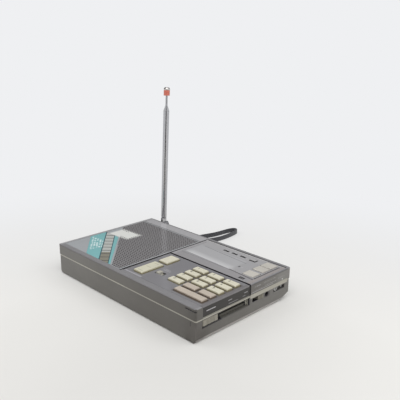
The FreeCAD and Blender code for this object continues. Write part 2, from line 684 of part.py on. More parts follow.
def earphone_jack():
    """A jack with a plain collar, open to a small plug."""
    x0 = CASE_LENGTH - 1.0 - EARPHONE_LENGTH
    body = block(x0, EARPHONE_Y - 3.6, JACK_Z - 3.6, CASE_LENGTH - 3.1, EARPHONE_Y + 3.6, JACK_Z + 2.5)
    collar = rod((CASE_LENGTH - 3.2, EARPHONE_Y, JACK_Z), (1, 0, 0), EARPHONE_RADIUS - 0.1, 2.2)
    bore = rod((x0 + 1.5, EARPHONE_Y, JACK_Z), (1, 0, 0), JACK_BORE_RADIUS, EARPHONE_LENGTH)
    return joined([body, collar]).cut(bore)


def power_jack():
    """A bright sleeve and a small keyed recess in one block, set back in its opening."""
    x0 = CASE_LENGTH - 14.0
    near, far = POWER_RECESS_Y
    low, high = POWER_RECESS_Z
    body = block(x0, near + 0.15, low + 0.15, CASE_LENGTH - 3.2, far - 0.15, high - 0.15)
    sleeve = rod((CASE_LENGTH - 3.4, POWER_JACK_Y, JACK_Z), (1, 0, 0), 1.6, 1.8)
    bore = rod((x0 + 1.5, POWER_JACK_Y, JACK_Z), (1, 0, 0), 1.1, 20)
    key = block(CASE_LENGTH - 5.6, far - 6.4, low + 1.2, CASE_LENGTH, far - 1.8, high - 1.2)
    return cut(joined([body, sleeve]), [bore, key])


# Inside

def circuit_board():
    """The main board under the keys and the display, notched round the screw bosses."""
    board = block(BOARD_BOX[0], BOARD_BOX[1], BOARD_Z[0], BOARD_BOX[2], BOARD_BOX[3], BOARD_Z[1])
    holes = [upright(around((x, y), (7.4, 7.4)), BOARD_Z[0] - 1, BOARD_Z[1] + 1) for x, y in SCREW_PLACES]
    return cut(board, holes)


def key_mat():
    """The rubber mat with one low dome under each key."""
    mat = block(97.0, 10.0, BOARD_Z[1], 182.4, 57.6, BOARD_Z[1] + 0.5)
    domes = [flared_post(x, y, 2.6, BOARD_Z[1] + 0.4, 1.8, BOARD_Z[1] + 1.2, 4)
             for _, (x, y), _ in keypad_keys()]
    return joined([mat] + domes)


def lcd_module():
    """The display glass in its frame, on the main board."""
    frame = upright(LCD_BOX, BOARD_Z[1], PLATE_BOTTOM - 0.1)
    rim = upright(grown(LCD_GLASS_BOX, -0.2), PLATE_BOTTOM - 0.2, PLATE_BOTTOM + 0.3)
    return joined([frame, rim])


def loudspeaker():
    """The steel basket with its rim and magnet."""
    x, y = SPEAKER_CENTRE
    top = CASE_HEIGHT - TOP_WALL
    r = SPEAKER_RADIUS
    solid = joined([flared_post(x, y, 23, top - 11.5, r - 3, top - 1.4, SPEAKER_SIDES),
                    post(x, y, r, top - 1.5, top, SPEAKER_SIDES),
                    post(x, y, 16, top - 19.5, top - 11.4, 20)])
    hollow = flared_post(x, y, 21, top - 9.9, r - 3, top + 0.1, SPEAKER_SIDES)
    return solid.cut(hollow)


def speaker_cone():
    """The paper cone with its dust cap, inside the basket."""
    x, y = SPEAKER_CENTRE
    top = CASE_HEIGHT - TOP_WALL
    r = SPEAKER_RADIUS - 3.4
    outer = flared_post(x, y, 8, top - 8.8, r, top - 0.1, SPEAKER_SIDES)
    inner = flared_post(x, y, 7.4, top - 8.2, r - 0.4, top, SPEAKER_SIDES)
    cap = flared_post(x, y, 9.4, top - 8.4, 5.0, top - 6.2, 12)
    return joined([outer.cut(inner), cap])


def cell_places():
    """The axis of each cell in x and z."""
    return [(CELL_X + CELL_PITCH * (i + 0.5), DOOR_Z[1] + 0.3 + CELL_RADIUS) for i in range(CELL_COUNT)]


def lying_post(x, z, radius, y0, y1, sides):
    """A post with flat sides that lies along y."""
    turns = [2 * math.pi * (i + 0.5) / sides for i in range(sides)]
    return prism_along_y([(x + radius * math.cos(t), z + radius * math.sin(t)) for t in turns], y0, y1)


def batteries():
    """Four penlight cells side by side, turned about one after the other."""
    cells = []
    for i, (x, z) in enumerate(cell_places()):
        can = lying_post(x, z, CELL_RADIUS, CELL_Y, CELL_Y + CELL_LENGTH - 1, 14)
        nub_y = CELL_Y + CELL_LENGTH - 1.1 if i % 2 else CELL_Y - 0.9
        cells.append(joined([can, lying_post(x, z, 2.7, nub_y, nub_y + 1.0, 6)]))
    return Part.makeCompound(cells)


def battery_contacts():
    """Spring plates at both ends of the battery bay."""
    plates = []
    bay = battery_bay()
    for x, z in cell_places():
        for y0, y1 in ((bay[1] + 0.05, bay[1] + 0.4), (bay[3] - 0.4, bay[3] - 0.05)):
            plates.append(block(x - 5, y0, z - 5, x + 5, y1, z + 5))
    return Part.makeCompound(plates)


# Antenna

def leaned(shape):
    """Turns an antenna piece from upright to its slight lean, and moves it to the knuckle."""
    shape = shape.copy()
    shape.Placement = FreeCAD.Placement(Vector(ANTENNA_X, ANTENNA_Y, ANTENNA_Z),
                                        Rotation(Vector(0, 1, 0), ANTENNA_LEAN))
    return shape


def antenna_mount():
    """The flanged bush that the antenna foot turns in."""
    flange = rod((ANTENNA_X, FLANGE_Y[0], ANTENNA_Z), (0, 1, 0), FLANGE_RADIUS, FLANGE_Y[1] - FLANGE_Y[0])
    bush = rod((ANTENNA_X, CASE_DEPTH - 6.5, ANTENNA_Z), (0, 1, 0), BUSH_RADIUS, 6.5)
    bore = rod((ANTENNA_X, CASE_DEPTH - 8, ANTENNA_Z), (0, 1, 0), BUSH_BORE, 12)
    return joined([flange, bush]).cut(bore)


def antenna_foot():
    """The turning foot with a fork for the knuckle."""
    y0 = FLANGE_Y[1] + 0.1
    stem = rod((0, CASE_DEPTH - 7.4 - ANTENNA_Y, 0), (0, 1, 0), BUSH_BORE - PIN_FIT, 9)
    head = rod((0, y0 - ANTENNA_Y, 0), (0, 1, 0), FOOT_RADIUS, ANTENNA_Y + KNUCKLE_REACH - y0)
    slot = block(-TANG_THICK / 2 - 0.1, y0 + 0.5 - ANTENNA_Y, -6, TANG_THICK / 2 + 0.1, KNUCKLE_REACH + 1, 6)
    pin = rod((-6, 0, 0), (1, 0, 0), PIN_RADIUS, 12)
    return leaned(joined([stem, head]).cut(Part.makeCompound([slot, pin])))


def antenna_pin():
    """The rivet across the fork."""
    half = FOOT_RADIUS - 0.2
    return leaned(rod((-half, 0, 0), (1, 0, 0), PIN_RADIUS, 2 * half))


def tube_radius(stage):
    """Outer radius of one nested tube, from the outermost inwards."""
    return TUBE_RADIUS - stage * (TUBE_WALL + TUBE_FIT)


def antenna_tube(stage):
    """One nested tube; the outermost also has the flat tang of the knuckle."""
    outer = tube_radius(stage)
    start = TUBE_START + stage * 0.8
    end = TUBE_END + stage * TUBE_STEP
    tube = rod((0, 0, start), (0, 0, 1), outer, end - start)
    if stage:
        return leaned(tube.cut(rod((0, 0, start - 1), (0, 0, 1), outer - TUBE_WALL, end)))
    half = TANG_THICK / 2
    tang = joined([rod((-half, 0, 0), (1, 0, 0), 2.7, TANG_THICK),
                   block(-half, -2.7, 0, half, 2.7, TUBE_START - 1.4),
                   flared_post(0, 0, 1.9, TUBE_START - 2.2, outer, TUBE_START + 0.2, 12)])
    bore = rod((0, 0, TUBE_START + 0.6), (0, 0, 1), outer - TUBE_WALL, end)
    eye = rod((-half - 1, 0, 0), (1, 0, 0), PIN_RADIUS + PIN_FIT, TANG_THICK + 2)
    return leaned(joined([tube, tang]).cut(Part.makeCompound([bore, eye])))


def antenna_rod():
    """The solid innermost rod."""
    start = TUBE_START + (INNER_TUBES + 1) * 0.8
    return leaned(rod((0, 0, start), (0, 0, 1), tube_radius(INNER_TUBES + 1), ROD_END - start))


def antenna_tip():
    """The capped tip: a plain barrel below a notched crown."""
    low = ROD_END - 1.2
    barrel = rod((0, 0, low), (0, 0, 1), TIP_RADIUS, TIP_LENGTH - 1.2)
    crown = Part.makeCone(TIP_RADIUS, TIP_RADIUS - 1.0, 1.2, Vector(0, 0, low + TIP_LENGTH - 1.2))
    notch = block(-0.6, -5, low + TIP_LENGTH - 1.5, 0.6, 5, low + TIP_LENGTH + 1)
    socket = rod((0, 0, low - 1), (0, 0, 1), tube_radius(INNER_TUBES + 1), 2.2)
    return leaned(joined([barrel, crown]).cut(Part.makeCompound([notch, socket])))


# Strap

def route_wire(points):
    """Straight runs joined by tangent arcs, each as large as its two runs allow."""
    points = [Vector(*p) for p in points]
    edges = []
    radii = []
    here = points[0]
    for i in range(1, len(points) - 1):
        back = points[i - 1] - points[i]
        ahead = points[i + 1] - points[i]
        reach = 0.45 * min(back.Length, ahead.Length)
        turn = math.pi - back.getAngle(ahead)
        radii.append(reach / math.tan(turn / 2))
        back.normalize()
        ahead.normalize()
        start = points[i] + back * reach
        end = points[i] + ahead * reach
        inwards = back + ahead
        inwards.normalize()
        depth = radii[-1] * (1 / math.cos(turn / 2) - 1)
        edges.append(Part.LineSegment(here, start).toShape())
        edges.append(Part.Arc(start, points[i] + inwards * depth, end).toShape())
        here = end
    edges.append(Part.LineSegment(here, points[-1]).toShape())
    return Part.Wire(edges), radii


def wrist_strap():
    """The flat ribbon along its route, on edge."""
    wire, radii = route_wire(STRAP_ROUTE)
    first, second = Vector(*STRAP_ROUTE[0]), Vector(*STRAP_ROUTE[1])
    ahead = Vector(second.x - first.x, second.y - first.y, 0)
    ahead.normalize()
    side = Vector(ahead.y, -ahead.x, 0) * (STRAP_THICK / 2)
    up = Vector(0, 0, STRAP_WIDTH / 2)
    corners = [first + side + up, first + side - up, first - side - up, first - side + up]
    profile = Part.makePolygon(corners + corners[:1])
    sweep = Part.BRepOffsetAPI.MakePipeShell(wire)
    sweep.setBiNormalMode(Vector(0, 0, 1))
    sweep.add(profile, False, False)
    sweep.build()
    sweep.makeSolid()
    solid = sweep.shape()
    expected = STRAP_WIDTH * STRAP_THICK * wire.Length
    print("strap length %.1f mm, volume %.0f of %.0f expected" % (wire.Length, solid.Volume, expected))
    print("strap radii", " ".join("%.1f" % r for r in radii))
    return solid


def parts():
    """Every node with its shape in case coordinates."""
    made = {
        "front_shell": front_shell(),
        "rear_shell": rear_shell(),
        "waist_band": waist_band(),
        "case_screws": case_screws(),
        "rubber_feet": rubber_feet(),
        "battery_door": battery_door(),
        "speaker_grille": speaker_grille(),
        "corner_label": corner_label(),
        "legend_strip": legend_strip(),
        "keypad_panel": keypad_panel(),
        "display_bezel": display_bezel(),
        "display_window": display_window(),
        "end_panel": end_panel(),
        "rocker_key": rocker_key(),
        "scan_key": scan_key(),
        "set_button": small_button(SET_BUTTON, SET_BUTTON_SIZE, 30.3),
        "light_button": small_button(LIGHT_BUTTON, LIGHT_BUTTON_SIZE, 29.5),
        "lock_slide": face_slide(LOCK_SLOT, LOCK_KNOB_SIZE, LOCK_SLOT_SIZE, SLIDE_TOP),
        "volume_track": volume_track(),
        "volume_knob": volume_knob(),
        "tone_knob": tone_knob(),
        "earphone_jack": earphone_jack(),
        "power_jack": power_jack(),
        "circuit_board": circuit_board(),
        "key_mat": key_mat(),
        "lcd_module": lcd_module(),
        "loudspeaker": loudspeaker(),
        "speaker_cone": speaker_cone(),
        "batteries": batteries(),
        "battery_contacts": battery_contacts(),
        "antenna_mount": antenna_mount(),
        "antenna_foot": antenna_foot(),
        "antenna_pin": antenna_pin(),
        "antenna_rod": antenna_rod(),
        "antenna_tip": antenna_tip(),
        "wrist_strap": wrist_strap(),
    }
    for name, centre, size in keypad_keys():
        made[name] = push_key(centre, size)
    for i, y in enumerate(MODE_KEY_YS):
        made["mode_key_%d" % (i + 1)] = mode_key(y)
    for i, x in enumerate(TIMER_SLIDE_XS):
        centre = (x, TIMER_SLIDE_Y)
        made["timer_slide_%d" % (i + 1)] = face_slide(centre, TIMER_KNOB_SIZE, TIMER_SLOT_SIZE, 30.2)
    for stage in range(INNER_TUBES + 1):
        made["antenna_tube_%d" % (stage + 1)] = antenna_tube(stage)
    return made


def main():
    """Moves every piece into the row frame and writes it."""
    os.makedirs("parts", exist_ok=True)
    shapes = parts()
    for name, shape in shapes.items():
        shape = shape.copy()
        shape.translate(-MIDDLE)
        if not shape.isValid():
            print("not valid:", name)
        solids = shape.Solids
        whole = solids[0] if len(solids) == 1 else Part.makeCompound(solids)
        whole.exportStep("parts/%s.step" % name)
        print("%-20s %d solid(s), %8.0f mm3" % (name, len(solids), whole.Volume))
    print(len(shapes), "nodes")


main()
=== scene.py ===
"""Looks of a compact shortwave radio that lies on its back on a pale table.

Every solid comes packed from the CAD model and keeps its mesh. This file gives each one its finish, and adds
the surfaces that only show: the fine speaker plate, the numbers on the keys, and the wrist strap.
"""
import logging
import math
from dataclasses import dataclass
from enum import Enum
from typing import ClassVar

import bpy
import numpy as np
from mathutils import Matrix, Vector


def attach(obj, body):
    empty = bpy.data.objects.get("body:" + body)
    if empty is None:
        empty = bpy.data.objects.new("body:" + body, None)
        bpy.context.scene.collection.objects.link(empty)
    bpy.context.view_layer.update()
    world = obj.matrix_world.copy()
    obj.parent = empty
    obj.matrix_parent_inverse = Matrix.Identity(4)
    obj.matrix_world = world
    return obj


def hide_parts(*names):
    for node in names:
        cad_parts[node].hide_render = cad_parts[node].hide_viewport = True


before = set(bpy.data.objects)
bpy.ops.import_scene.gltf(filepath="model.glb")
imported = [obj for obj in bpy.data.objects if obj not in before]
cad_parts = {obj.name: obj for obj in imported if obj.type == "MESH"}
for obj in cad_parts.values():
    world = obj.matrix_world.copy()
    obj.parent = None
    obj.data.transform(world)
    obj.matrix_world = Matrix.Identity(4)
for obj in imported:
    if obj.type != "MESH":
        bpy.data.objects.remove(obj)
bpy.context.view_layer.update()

MM = 0.001
CASE_MIDDLE = (93.0, 62.5, 0.0)

Colour = tuple[int, int, int]
Linear = tuple[float, float, float, float]
Point = tuple[float, float, float]
Socket = bpy.types.NodeSocket

log = logging.getLogger("radio")


# Coordinates and colours


def place(points: np.ndarray) -> np.ndarray:
    """Turns case coordinates in millimetres into frame coordinates in metres.

    Args:
        points: An array whose last axis is x from the left end, y from the near side and z up.

    Returns:
        The same array moved to the frame's origin, in metres.
    """
    return (np.asarray(points, dtype=float) - np.array(CASE_MIDDLE)) * MM


def display_colour(colour: Colour, factor: float = 1.0) -> Linear:
    """Turns an eight-bit display colour into the linear colour that a shader takes.

    Args:
        colour: Red, green and blue from 0 to 255.
        factor: How much paler or darker the linear colour is made.

    Returns:
        Linear red, green and blue with an alpha of one.
    """
    value = np.array(colour) / 255.0
    linear = np.where(value <= 0.04045, value / 12.92, ((value + 0.055) / 1.055) ** 2.4)
    red, green, blue = np.clip(linear * factor, 0.0, 1.0)
    return (float(red), float(green), float(blue), 1.0)


class Axis(Enum):
    """The three directions of the case."""

    ALONG = (1.0, 0.0, 0.0)
    ACROSS = (0.0, 1.0, 0.0)
    UP = (0.0, 0.0, 1.0)


@dataclass(frozen=True)
class Span:
    """A slab of space: what lies from low to high along a direction, in case millimetres."""

    direction: Point
    low: float
    high: float

    def in_metres(self) -> tuple[float, float]:
        """The slab's middle and half its width along the direction, in the frame's metres."""
        shift = sum(a * b for a, b in zip(self.direction, CASE_MIDDLE))
        return ((self.low + self.high) / 2 - shift) * MM, (self.high - self.low) / 2 * MM


def box_of(x: tuple[float, float] | None = None, y: tuple[float, float] | None = None,
           z: tuple[float, float] | None = None) -> tuple[Span, ...]:
    """The slabs of a box that is endless along each direction without limits.

    Args:
        x: Lowest and highest x, or none.
        y: Lowest and highest y, or none.
        z: Lowest and highest z, or none.

    Returns:
        One slab for each direction that has limits.
    """
    pairs = ((Axis.ALONG, x), (Axis.ACROSS, y), (Axis.UP, z))
    return tuple(Span(axis.value, *limits) for axis, limits in pairs if limits)


def beside(start: tuple[float, float], end: tuple[float, float], low: float, high: float) -> Span:
    """The slab beside a slanted line of the face.

    The direction is the line's unit normal to its right, (dy, -dx) over the length, and the distances start at
    the line.

    Args:
        start: One point of the line.
        end: Another point of the line.
        low: Where the slab starts, as a distance to the right of the line.
        high: Where it ends.

    Returns:
        The slab.
    """
    dx, dy = end[0] - start[0], end[1] - start[1]
    length = math.hypot(dx, dy)
    normal = (dy / length, -dx / length, 0.0)
    base = normal[0] * start[0] + normal[1] * start[1]
    return Span(normal, base + low, base + high)


@dataclass(frozen=True)
class Mark:
    """A tone laid over a finish wherever all its slabs meet, crisp or soft at the edge, whole or cloudy."""

    colour: Colour
    spans: tuple[Span, ...]
    share: float = 1.0
    soft_mm: float = 0.0
    cloud_mm: float = 0.0


# Shader building


class ShaderSheet:
    """One material under construction, with short ways to add the usual nodes."""

    def __init__(self, name: str) -> None:
        """Makes the material with its principled shader.

        Args:
            name: The material's name.
        """
        self.material = bpy.data.materials.new(name)
        self.material.use_nodes = True
        self.tree = self.material.node_tree
        self.surface = self.tree.nodes["Principled BSDF"]
        guide = self.tree.nodes.new("ShaderNodeTexCoord")
        self.coords = guide.outputs["Object"]
        self.normals = guide.outputs["Normal"]

    def node(self, kind: str, **settings: object) -> bpy.types.Node:
        """Adds a node.

        Args:
            kind: The node's type.
            settings: The plain properties to set on it.

        Returns:
            The node.
        """
        made = self.tree.nodes.new(kind)
        for key, value in settings.items():
            setattr(made, key, value)
        return made

    def feed(self, socket: Socket, value: object) -> None:
        """Links a socket, or sets its value where a plain value is given.

        Args:
            socket: The input to feed.
            value: Another node's output, or a plain value.
        """
        if isinstance(value, bpy.types.NodeSocket):
            self.tree.links.new(value, socket)
        else:
            socket.default_value = value

    def stretched(self, scale: Point, turn: float = 0.0) -> Socket:
        """Object coordinates turned about z and then scaled along each axis.

        Args:
            scale: How many pattern units there are per metre along each axis.
            turn: The turn about z in radians.

        Returns:
            The vector socket of the mapping.
        """
        turned = self.node("ShaderNodeVectorRotate", rotation_type="Z_AXIS")
        self.feed(turned.inputs["Vector"], self.coords)
        turned.inputs["Angle"].default_value = turn
        mapping = self.node("ShaderNodeMapping")
        self.feed(mapping.inputs["Vector"], turned.outputs["Vector"])
        mapping.inputs["Scale"].default_value = scale
        return mapping.outputs["Vector"]

    def noise(self, size_mm: float, detail: float = 3.0, roughness: float = 0.5,
              vector: Socket | None = None) -> Socket:
        """Fractal noise whose largest lumps are about the given size.

        Args:
            size_mm: Size of the largest lumps in millimetres.
            detail: How many finer octaves are added.
            roughness: How strong the finer octaves are.
            vector: The coordinates to read, or none for Object coordinates.

        Returns:
            The noise value from 0 to 1.
        """
        made = self.node("ShaderNodeTexNoise")
        self.feed(made.inputs["Vector"], vector if vector is not None else self.coords)
        made.inputs["Scale"].default_value = 1.0 / (size_mm * MM)
        made.inputs["Detail"].default_value = detail
        made.inputs["Roughness"].default_value = roughness
        return made.outputs["Fac"]

    def spread(self, value: Socket, low: float, high: float, to_low: float, to_high: float) -> Socket:
        """Maps a value from one range to another, held at the ends.

        Args:
            value: The value to map.
            low: Where its range starts.
            high: Where its range ends.
            to_low: What the start becomes.
            to_high: What the end becomes.

        Returns:
            The mapped value.
        """
        made = self.node("ShaderNodeMapRange")
        for name, number in zip(("From Min", "From Max", "To Min", "To Max"), (low, high, to_low, to_high)):
            made.inputs[name].default_value = number
        self.feed(made.inputs["Value"], value)
        return made.outputs["Result"]

    def blend(self, share: object, first: object, second: object) -> Socket:
        """Mixes two colours by a share from 0 to 1.

        Args:
            share: How much of the second colour shows.
            first: The first colour.
            second: The second colour.

        Returns:
            The mixed colour.
        """
        made = self.node("ShaderNodeMix", data_type="RGBA")
        self.feed(made.inputs[0], share)
        self.feed(made.inputs[6], first)
        self.feed(made.inputs[7], second)
        return made.outputs[2]

    def sum(self, operation: str, first: object, second: object = 0.0) -> Socket:
        """One arithmetic step on two values.

        Args:
            operation: The kind of step.
            first: The first value.
            second: The second value, where the step takes one.

        Returns:
            The result.
        """
        made = self.node("ShaderNodeMath", operation=operation)
        self.feed(made.inputs[0], first)
        self.feed(made.inputs[1], second)
        return made.outputs[0]

    def reach(self, vector: Socket, direction: object) -> Socket:
        """How far a vector reaches along a direction, which is their dot product.

        Args:
            vector: The vector.
            direction: The direction, plain or from a node.

        Returns:
            The reach.
        """
        made = self.node("ShaderNodeVectorMath", operation="DOT_PRODUCT")
        self.feed(made.inputs[0], vector)
        self.feed(made.inputs[1], direction)
        return made.outputs["Value"]

    def inside(self, span: Span, soft_mm: float) -> Socket:
        """One inside a slab and nought outside it.

        Args:
            span: The slab.
            soft_mm: Width of the soft change at its edges in millimetres, or zero for a crisp edge.

        Returns:
            The share from 0 to 1.
        """
        middle, half = span.in_metres()
        along = self.reach(self.coords, span.direction)
        edge = soft_mm / 2 * MM
        if not edge:
            test = self.node("ShaderNodeMath", operation="COMPARE")
            self.feed(test.inputs[0], along)
            test.inputs[1].default_value = middle
            test.inputs[2].default_value = half
            return test.outputs[0]
        off = self.sum("ABSOLUTE", self.sum("SUBTRACT", along, middle))
        return self.spread(off, half - edge, half + edge, 1.0, 0.0)

    def marked(self, colour: object, marks: tuple[Mark, ...]) -> object:
        """Lays marks over a colour, each one over those before it.

        Args:
            colour: The colour below.
            marks: The marks in order.

        Returns:
            The colour with its marks.
        """
        for mark in marks:
            share: object = mark.share
            if mark.cloud_mm:
                share = self.spread(self.noise(mark.cloud_mm, 3.0), 0.38, 0.62, 0.0, mark.share)
            for span in mark.spans:
                share = self.sum("MULTIPLY", self.inside(span, mark.soft_mm), share)
            colour = self.blend(share, colour, display_colour(mark.colour))
        return colour

    def rounded_normal(self, radius_mm: float) -> Socket:
        """A normal that turns gently over hard edges, as if they were rounded.

        Args:
            radius_mm: The radius that they seem to have.

        Returns:
            The normal.
        """
        bevel = self.node("ShaderNodeBevel", samples=6)
        bevel.inputs["Radius"].default_value = radius_mm * MM
        return bevel.outputs["Normal"]

    def edges(self, radius_mm: float) -> Socket:
        """One along hard edges and nought on flats: how far the rounded normal leans from the true one."""
        true = self.node("ShaderNodeNewGeometry").outputs["True Normal"]
        return self.spread(self.reach(self.rounded_normal(radius_mm), true), 0.98, 0.8, 0.0, 1.0)

    def relief(self, height: Socket, depth_mm: float, rounded_mm: float = 0.0) -> None:
        """Adds a bump of the given depth, over edges that look rounded.

        Args:
            height: The height pattern from 0 to 1.
            depth_mm: Depth of the pattern in millimetres.
            rounded_mm: Radius that hard edges seem to have, or zero.
        """
        bump = self.node("ShaderNodeBump")
        bump.inputs["Strength"].default_value = 1.0
        bump.inputs["Distance"].default_value = depth_mm * MM
        self.feed(bump.inputs["Height"], height)
        if rounded_mm:
            self.feed(bump.inputs["Normal"], self.rounded_normal(rounded_mm))
        self.feed(self.surface.inputs["Normal"], bump.outputs["Normal"])


@dataclass(frozen=True)
class Finish:
    """A finish makes its material once and dresses any number of pieces with it."""

    name: str
    colour: Colour
    marks: tuple[Mark, ...] = ()
    made: ClassVar[dict[str, bpy.types.Material]] = {}

    def body_colour(self, sheet: ShaderSheet) -> object:
        """The colour below the marks."""
        return display_colour(self.colour)

    def surface(self, sheet: ShaderSheet) -> None:
        """Sets the gloss and the relief."""
        raise NotImplementedError

    def material(self) -> bpy.types.Material:
        """The finish's material, made at its first use.

        Returns:
            The material.
        """
        if self.name not in Finish.made:
            sheet = ShaderSheet(self.name)
            sheet.feed(sheet.surface.inputs["Base Color"], sheet.marked(self.body_colour(sheet), self.marks))
            self.surface(sheet)
            Finish.made[self.name] = sheet.material
        return Finish.made[self.name]

    def dress(self, piece: bpy.types.Object) -> bpy.types.Object:
        """Puts the finish on every material slot of a piece.

        Args:
            piece: A mesh object.

        Returns:
            The same piece.
        """
        if not piece.material_slots:
            piece.data.materials.append(self.material())
        for slot in piece.material_slots:
            slot.material = self.material()
        return piece


@dataclass(frozen=True)
class MouldedPlastic(Finish):
    """Moulded plastic: fine grain, cloudy colour, softly rounded edges, and a second tone on upright sides,
    which is painted shade.

    The colour wanders between two tones by slow noise, and the height is fast noise of the grain's size. Edges
    are rubbed paler in patches.
    """

    # side is the darker tone of upright faces, painted shade; side_marks lay painted light and shade over it.
    side: Colour | None = None
    side_marks: tuple[Mark, ...] = ()
    roughness: float = 0.45
    grain_mm: float = 0.25
    grain_depth_mm: float = 0.012
    cloud: float = 0.05
    edge_mm: float = 0.25
    wear: float = 0.25

    def body_colour(self, sheet: ShaderSheet) -> object:
        """The clouded top tone, the side tone where the surface is upright as painted shade, and the rubbed
        edges.

        Args:
            sheet: The material under construction.

        Returns:
            The colour.
        """
        slow = sheet.spread(sheet.noise(18.0, 4.0), 0.3, 0.7, 0.0, 1.0)
        low, high = 1.0 - self.cloud, 1.0 + self.cloud
        tone = sheet.blend(slow, display_colour(self.colour, low), display_colour(self.colour, high))
        # Upright faces take the side tone and its marks: painted shade and painted light by which way a face
        # looks.
        if self.side:
            upright = sheet.blend(slow, display_colour(self.side, low), display_colour(self.side, high))
            upright = sheet.marked(upright, self.side_marks)
            facing = sheet.spread(sheet.reach(sheet.normals, Axis.UP.value), 0.3, 0.8, 0.0, 1.0)
            tone = sheet.blend(facing, upright, tone)
        patches = sheet.spread(sheet.noise(3.0, 4.0, 0.6), 0.4, 0.65, 0.0, self.wear)
        rubbed = sheet.sum("MULTIPLY", sheet.edges(self.edge_mm * 2), patches)
        return sheet.blend(rubbed, tone, display_colour(self.colour, 1.8))

    def surface(self, sheet: ShaderSheet) -> None:
        """Fine grain, and a roughness that wanders as handling leaves it.

        Args:
            sheet: The material under construction.
        """
        worn = sheet.spread(sheet.noise(6.0, 5.0, 0.6), 0.3, 0.7, self.roughness - 0.05, self.roughness + 0.06)
        sheet.feed(sheet.surface.inputs["Roughness"], worn)
        sheet.relief(sheet.noise(self.grain_mm, 2.0), self.grain_depth_mm, self.edge_mm)


@dataclass(frozen=True)
class PaintedPlate(Finish):
    """A painted or lacquered plate: smooth, with a faint ripple and fine scuffs.

    Scuffs are noise stretched forty times along one slanted direction, which only raises the roughness.
    """

    roughness: float = 0.3
    scuff: float = 0.12
    metallic: float = 0.0
    edge_mm: float = 0.2
    coat: float = 0.0
    ripple_mm: float = 0.004

    def body_colour(self, sheet: ShaderSheet) -> object:
        """The paint's colour with slow, faint clouds."""
        slow = sheet.noise(24.0, 3.0)
        return sheet.blend(slow, display_colour(self.colour, 0.95), display_colour(self.colour, 1.05))

    def surface(self, sheet: ShaderSheet) -> None:
        """Gloss that the scuffs break, over a ripple of a few thousandths of a millimetre.

        Args:
            sheet: The material under construction.
        """
        lines = sheet.noise(1.0, 4.0, 0.65, sheet.stretched((0.05, 2.0, 1.0), 0.5))
        rubbed = sheet.spread(lines, 0.45, 0.75, self.roughness, self.roughness + self.scuff)
        sheet.feed(sheet.surface.inputs["Roughness"], rubbed)
        sheet.surface.inputs["Metallic"].default_value = self.metallic
        sheet.surface.inputs["Coat Weight"].default_value = self.coat
        sheet.surface.inputs["Coat Roughness"].default_value = 0.08
        sheet.relief(sheet.noise(3.0, 2.0), self.ripple_mm, self.edge_mm)


@dataclass(frozen=True)
class BrightMetal(Finish):
    """Plated or drawn metal with fine lines along one axis and a few dull spots."""

    roughness: float = 0.12
    line_mm: Point = (0.4, 0.4, 20.0)

    def body_colour(self, sheet: ShaderSheet) -> object:
        """Plating with small dull spots."""
        spots = sheet.spread(sheet.noise(2.5, 4.0, 0.6), 0.55, 0.75, 0.0, 1.0)
        return sheet.blend(spots, display_colour(self.colour), display_colour(self.colour, 0.86))

    def surface(self, sheet: ShaderSheet) -> None:
        """Drawn lines that raise the roughness.

        Args:
            sheet: The material under construction.
        """
        sheet.surface.inputs["Metallic"].default_value = 1.0
        lines = sheet.noise(1.0, 2.0, 0.5, sheet.stretched(tuple(1.0 / size for size in self.line_mm)))
        rough = sheet.spread(lines, 0.3, 0.7, self.roughness, self.roughness + 0.12)
        sheet.feed(sheet.surface.inputs["Roughness"], rough)
        sheet.relief(lines, 0.002)


@dataclass(frozen=True)
class WovenRibbon(Finish):
    """A woven synthetic ribbon: threads cross at right angles by the ribbon's own coordinates.

    The height is the larger of two sine waves, one along and one across, and it dips at each crossing.
    """

    threads_along: float = 240.0
    threads_across: float = 14.0

    def weave(self, sheet: ShaderSheet) -> Socket:
        """The thread height from 0 to 1.

        Args:
            sheet: The material under construction.

        Returns:
            The height.
        """
        flat = sheet.node("ShaderNodeUVMap", uv_map="ribbon").outputs["UV"]
        along, across = (sheet.sum("SINE", sheet.reach(flat, direction)) for direction in (
            (self.threads_along * math.pi, 0.0, 0.0), (0.0, self.threads_across * math.pi, 0.0)))
        return sheet.sum("MAXIMUM", sheet.sum("ABSOLUTE", along), sheet.sum("ABSOLUTE", across))

    def body_colour(self, sheet: ShaderSheet) -> object:
        """Painted shade in the gaps of the weave, with pale lint on top.

        Args:
            sheet: The material under construction.

        Returns:
            The colour.
        """
        lint = sheet.spread(sheet.noise(0.8, 5.0, 0.7), 0.5, 0.8, 0.0, 0.5)
        # The gaps of the weave are darker: painted shade.
        threads = sheet.blend(self.weave(sheet), display_colour(self.colour, 0.5), display_colour(self.colour))
        return sheet.blend(lint, threads, display_colour(self.colour, 2.0))

    def surface(self, sheet: ShaderSheet) -> None:
        """Dull threads with a soft sheen.

        Args:
            sheet: The material under construction.
        """
        sheet.surface.inputs["Roughness"].default_value = 0.75
        sheet.surface.inputs["Sheen Weight"].default_value = 0.3
        sheet.relief(self.weave(sheet), 0.1)


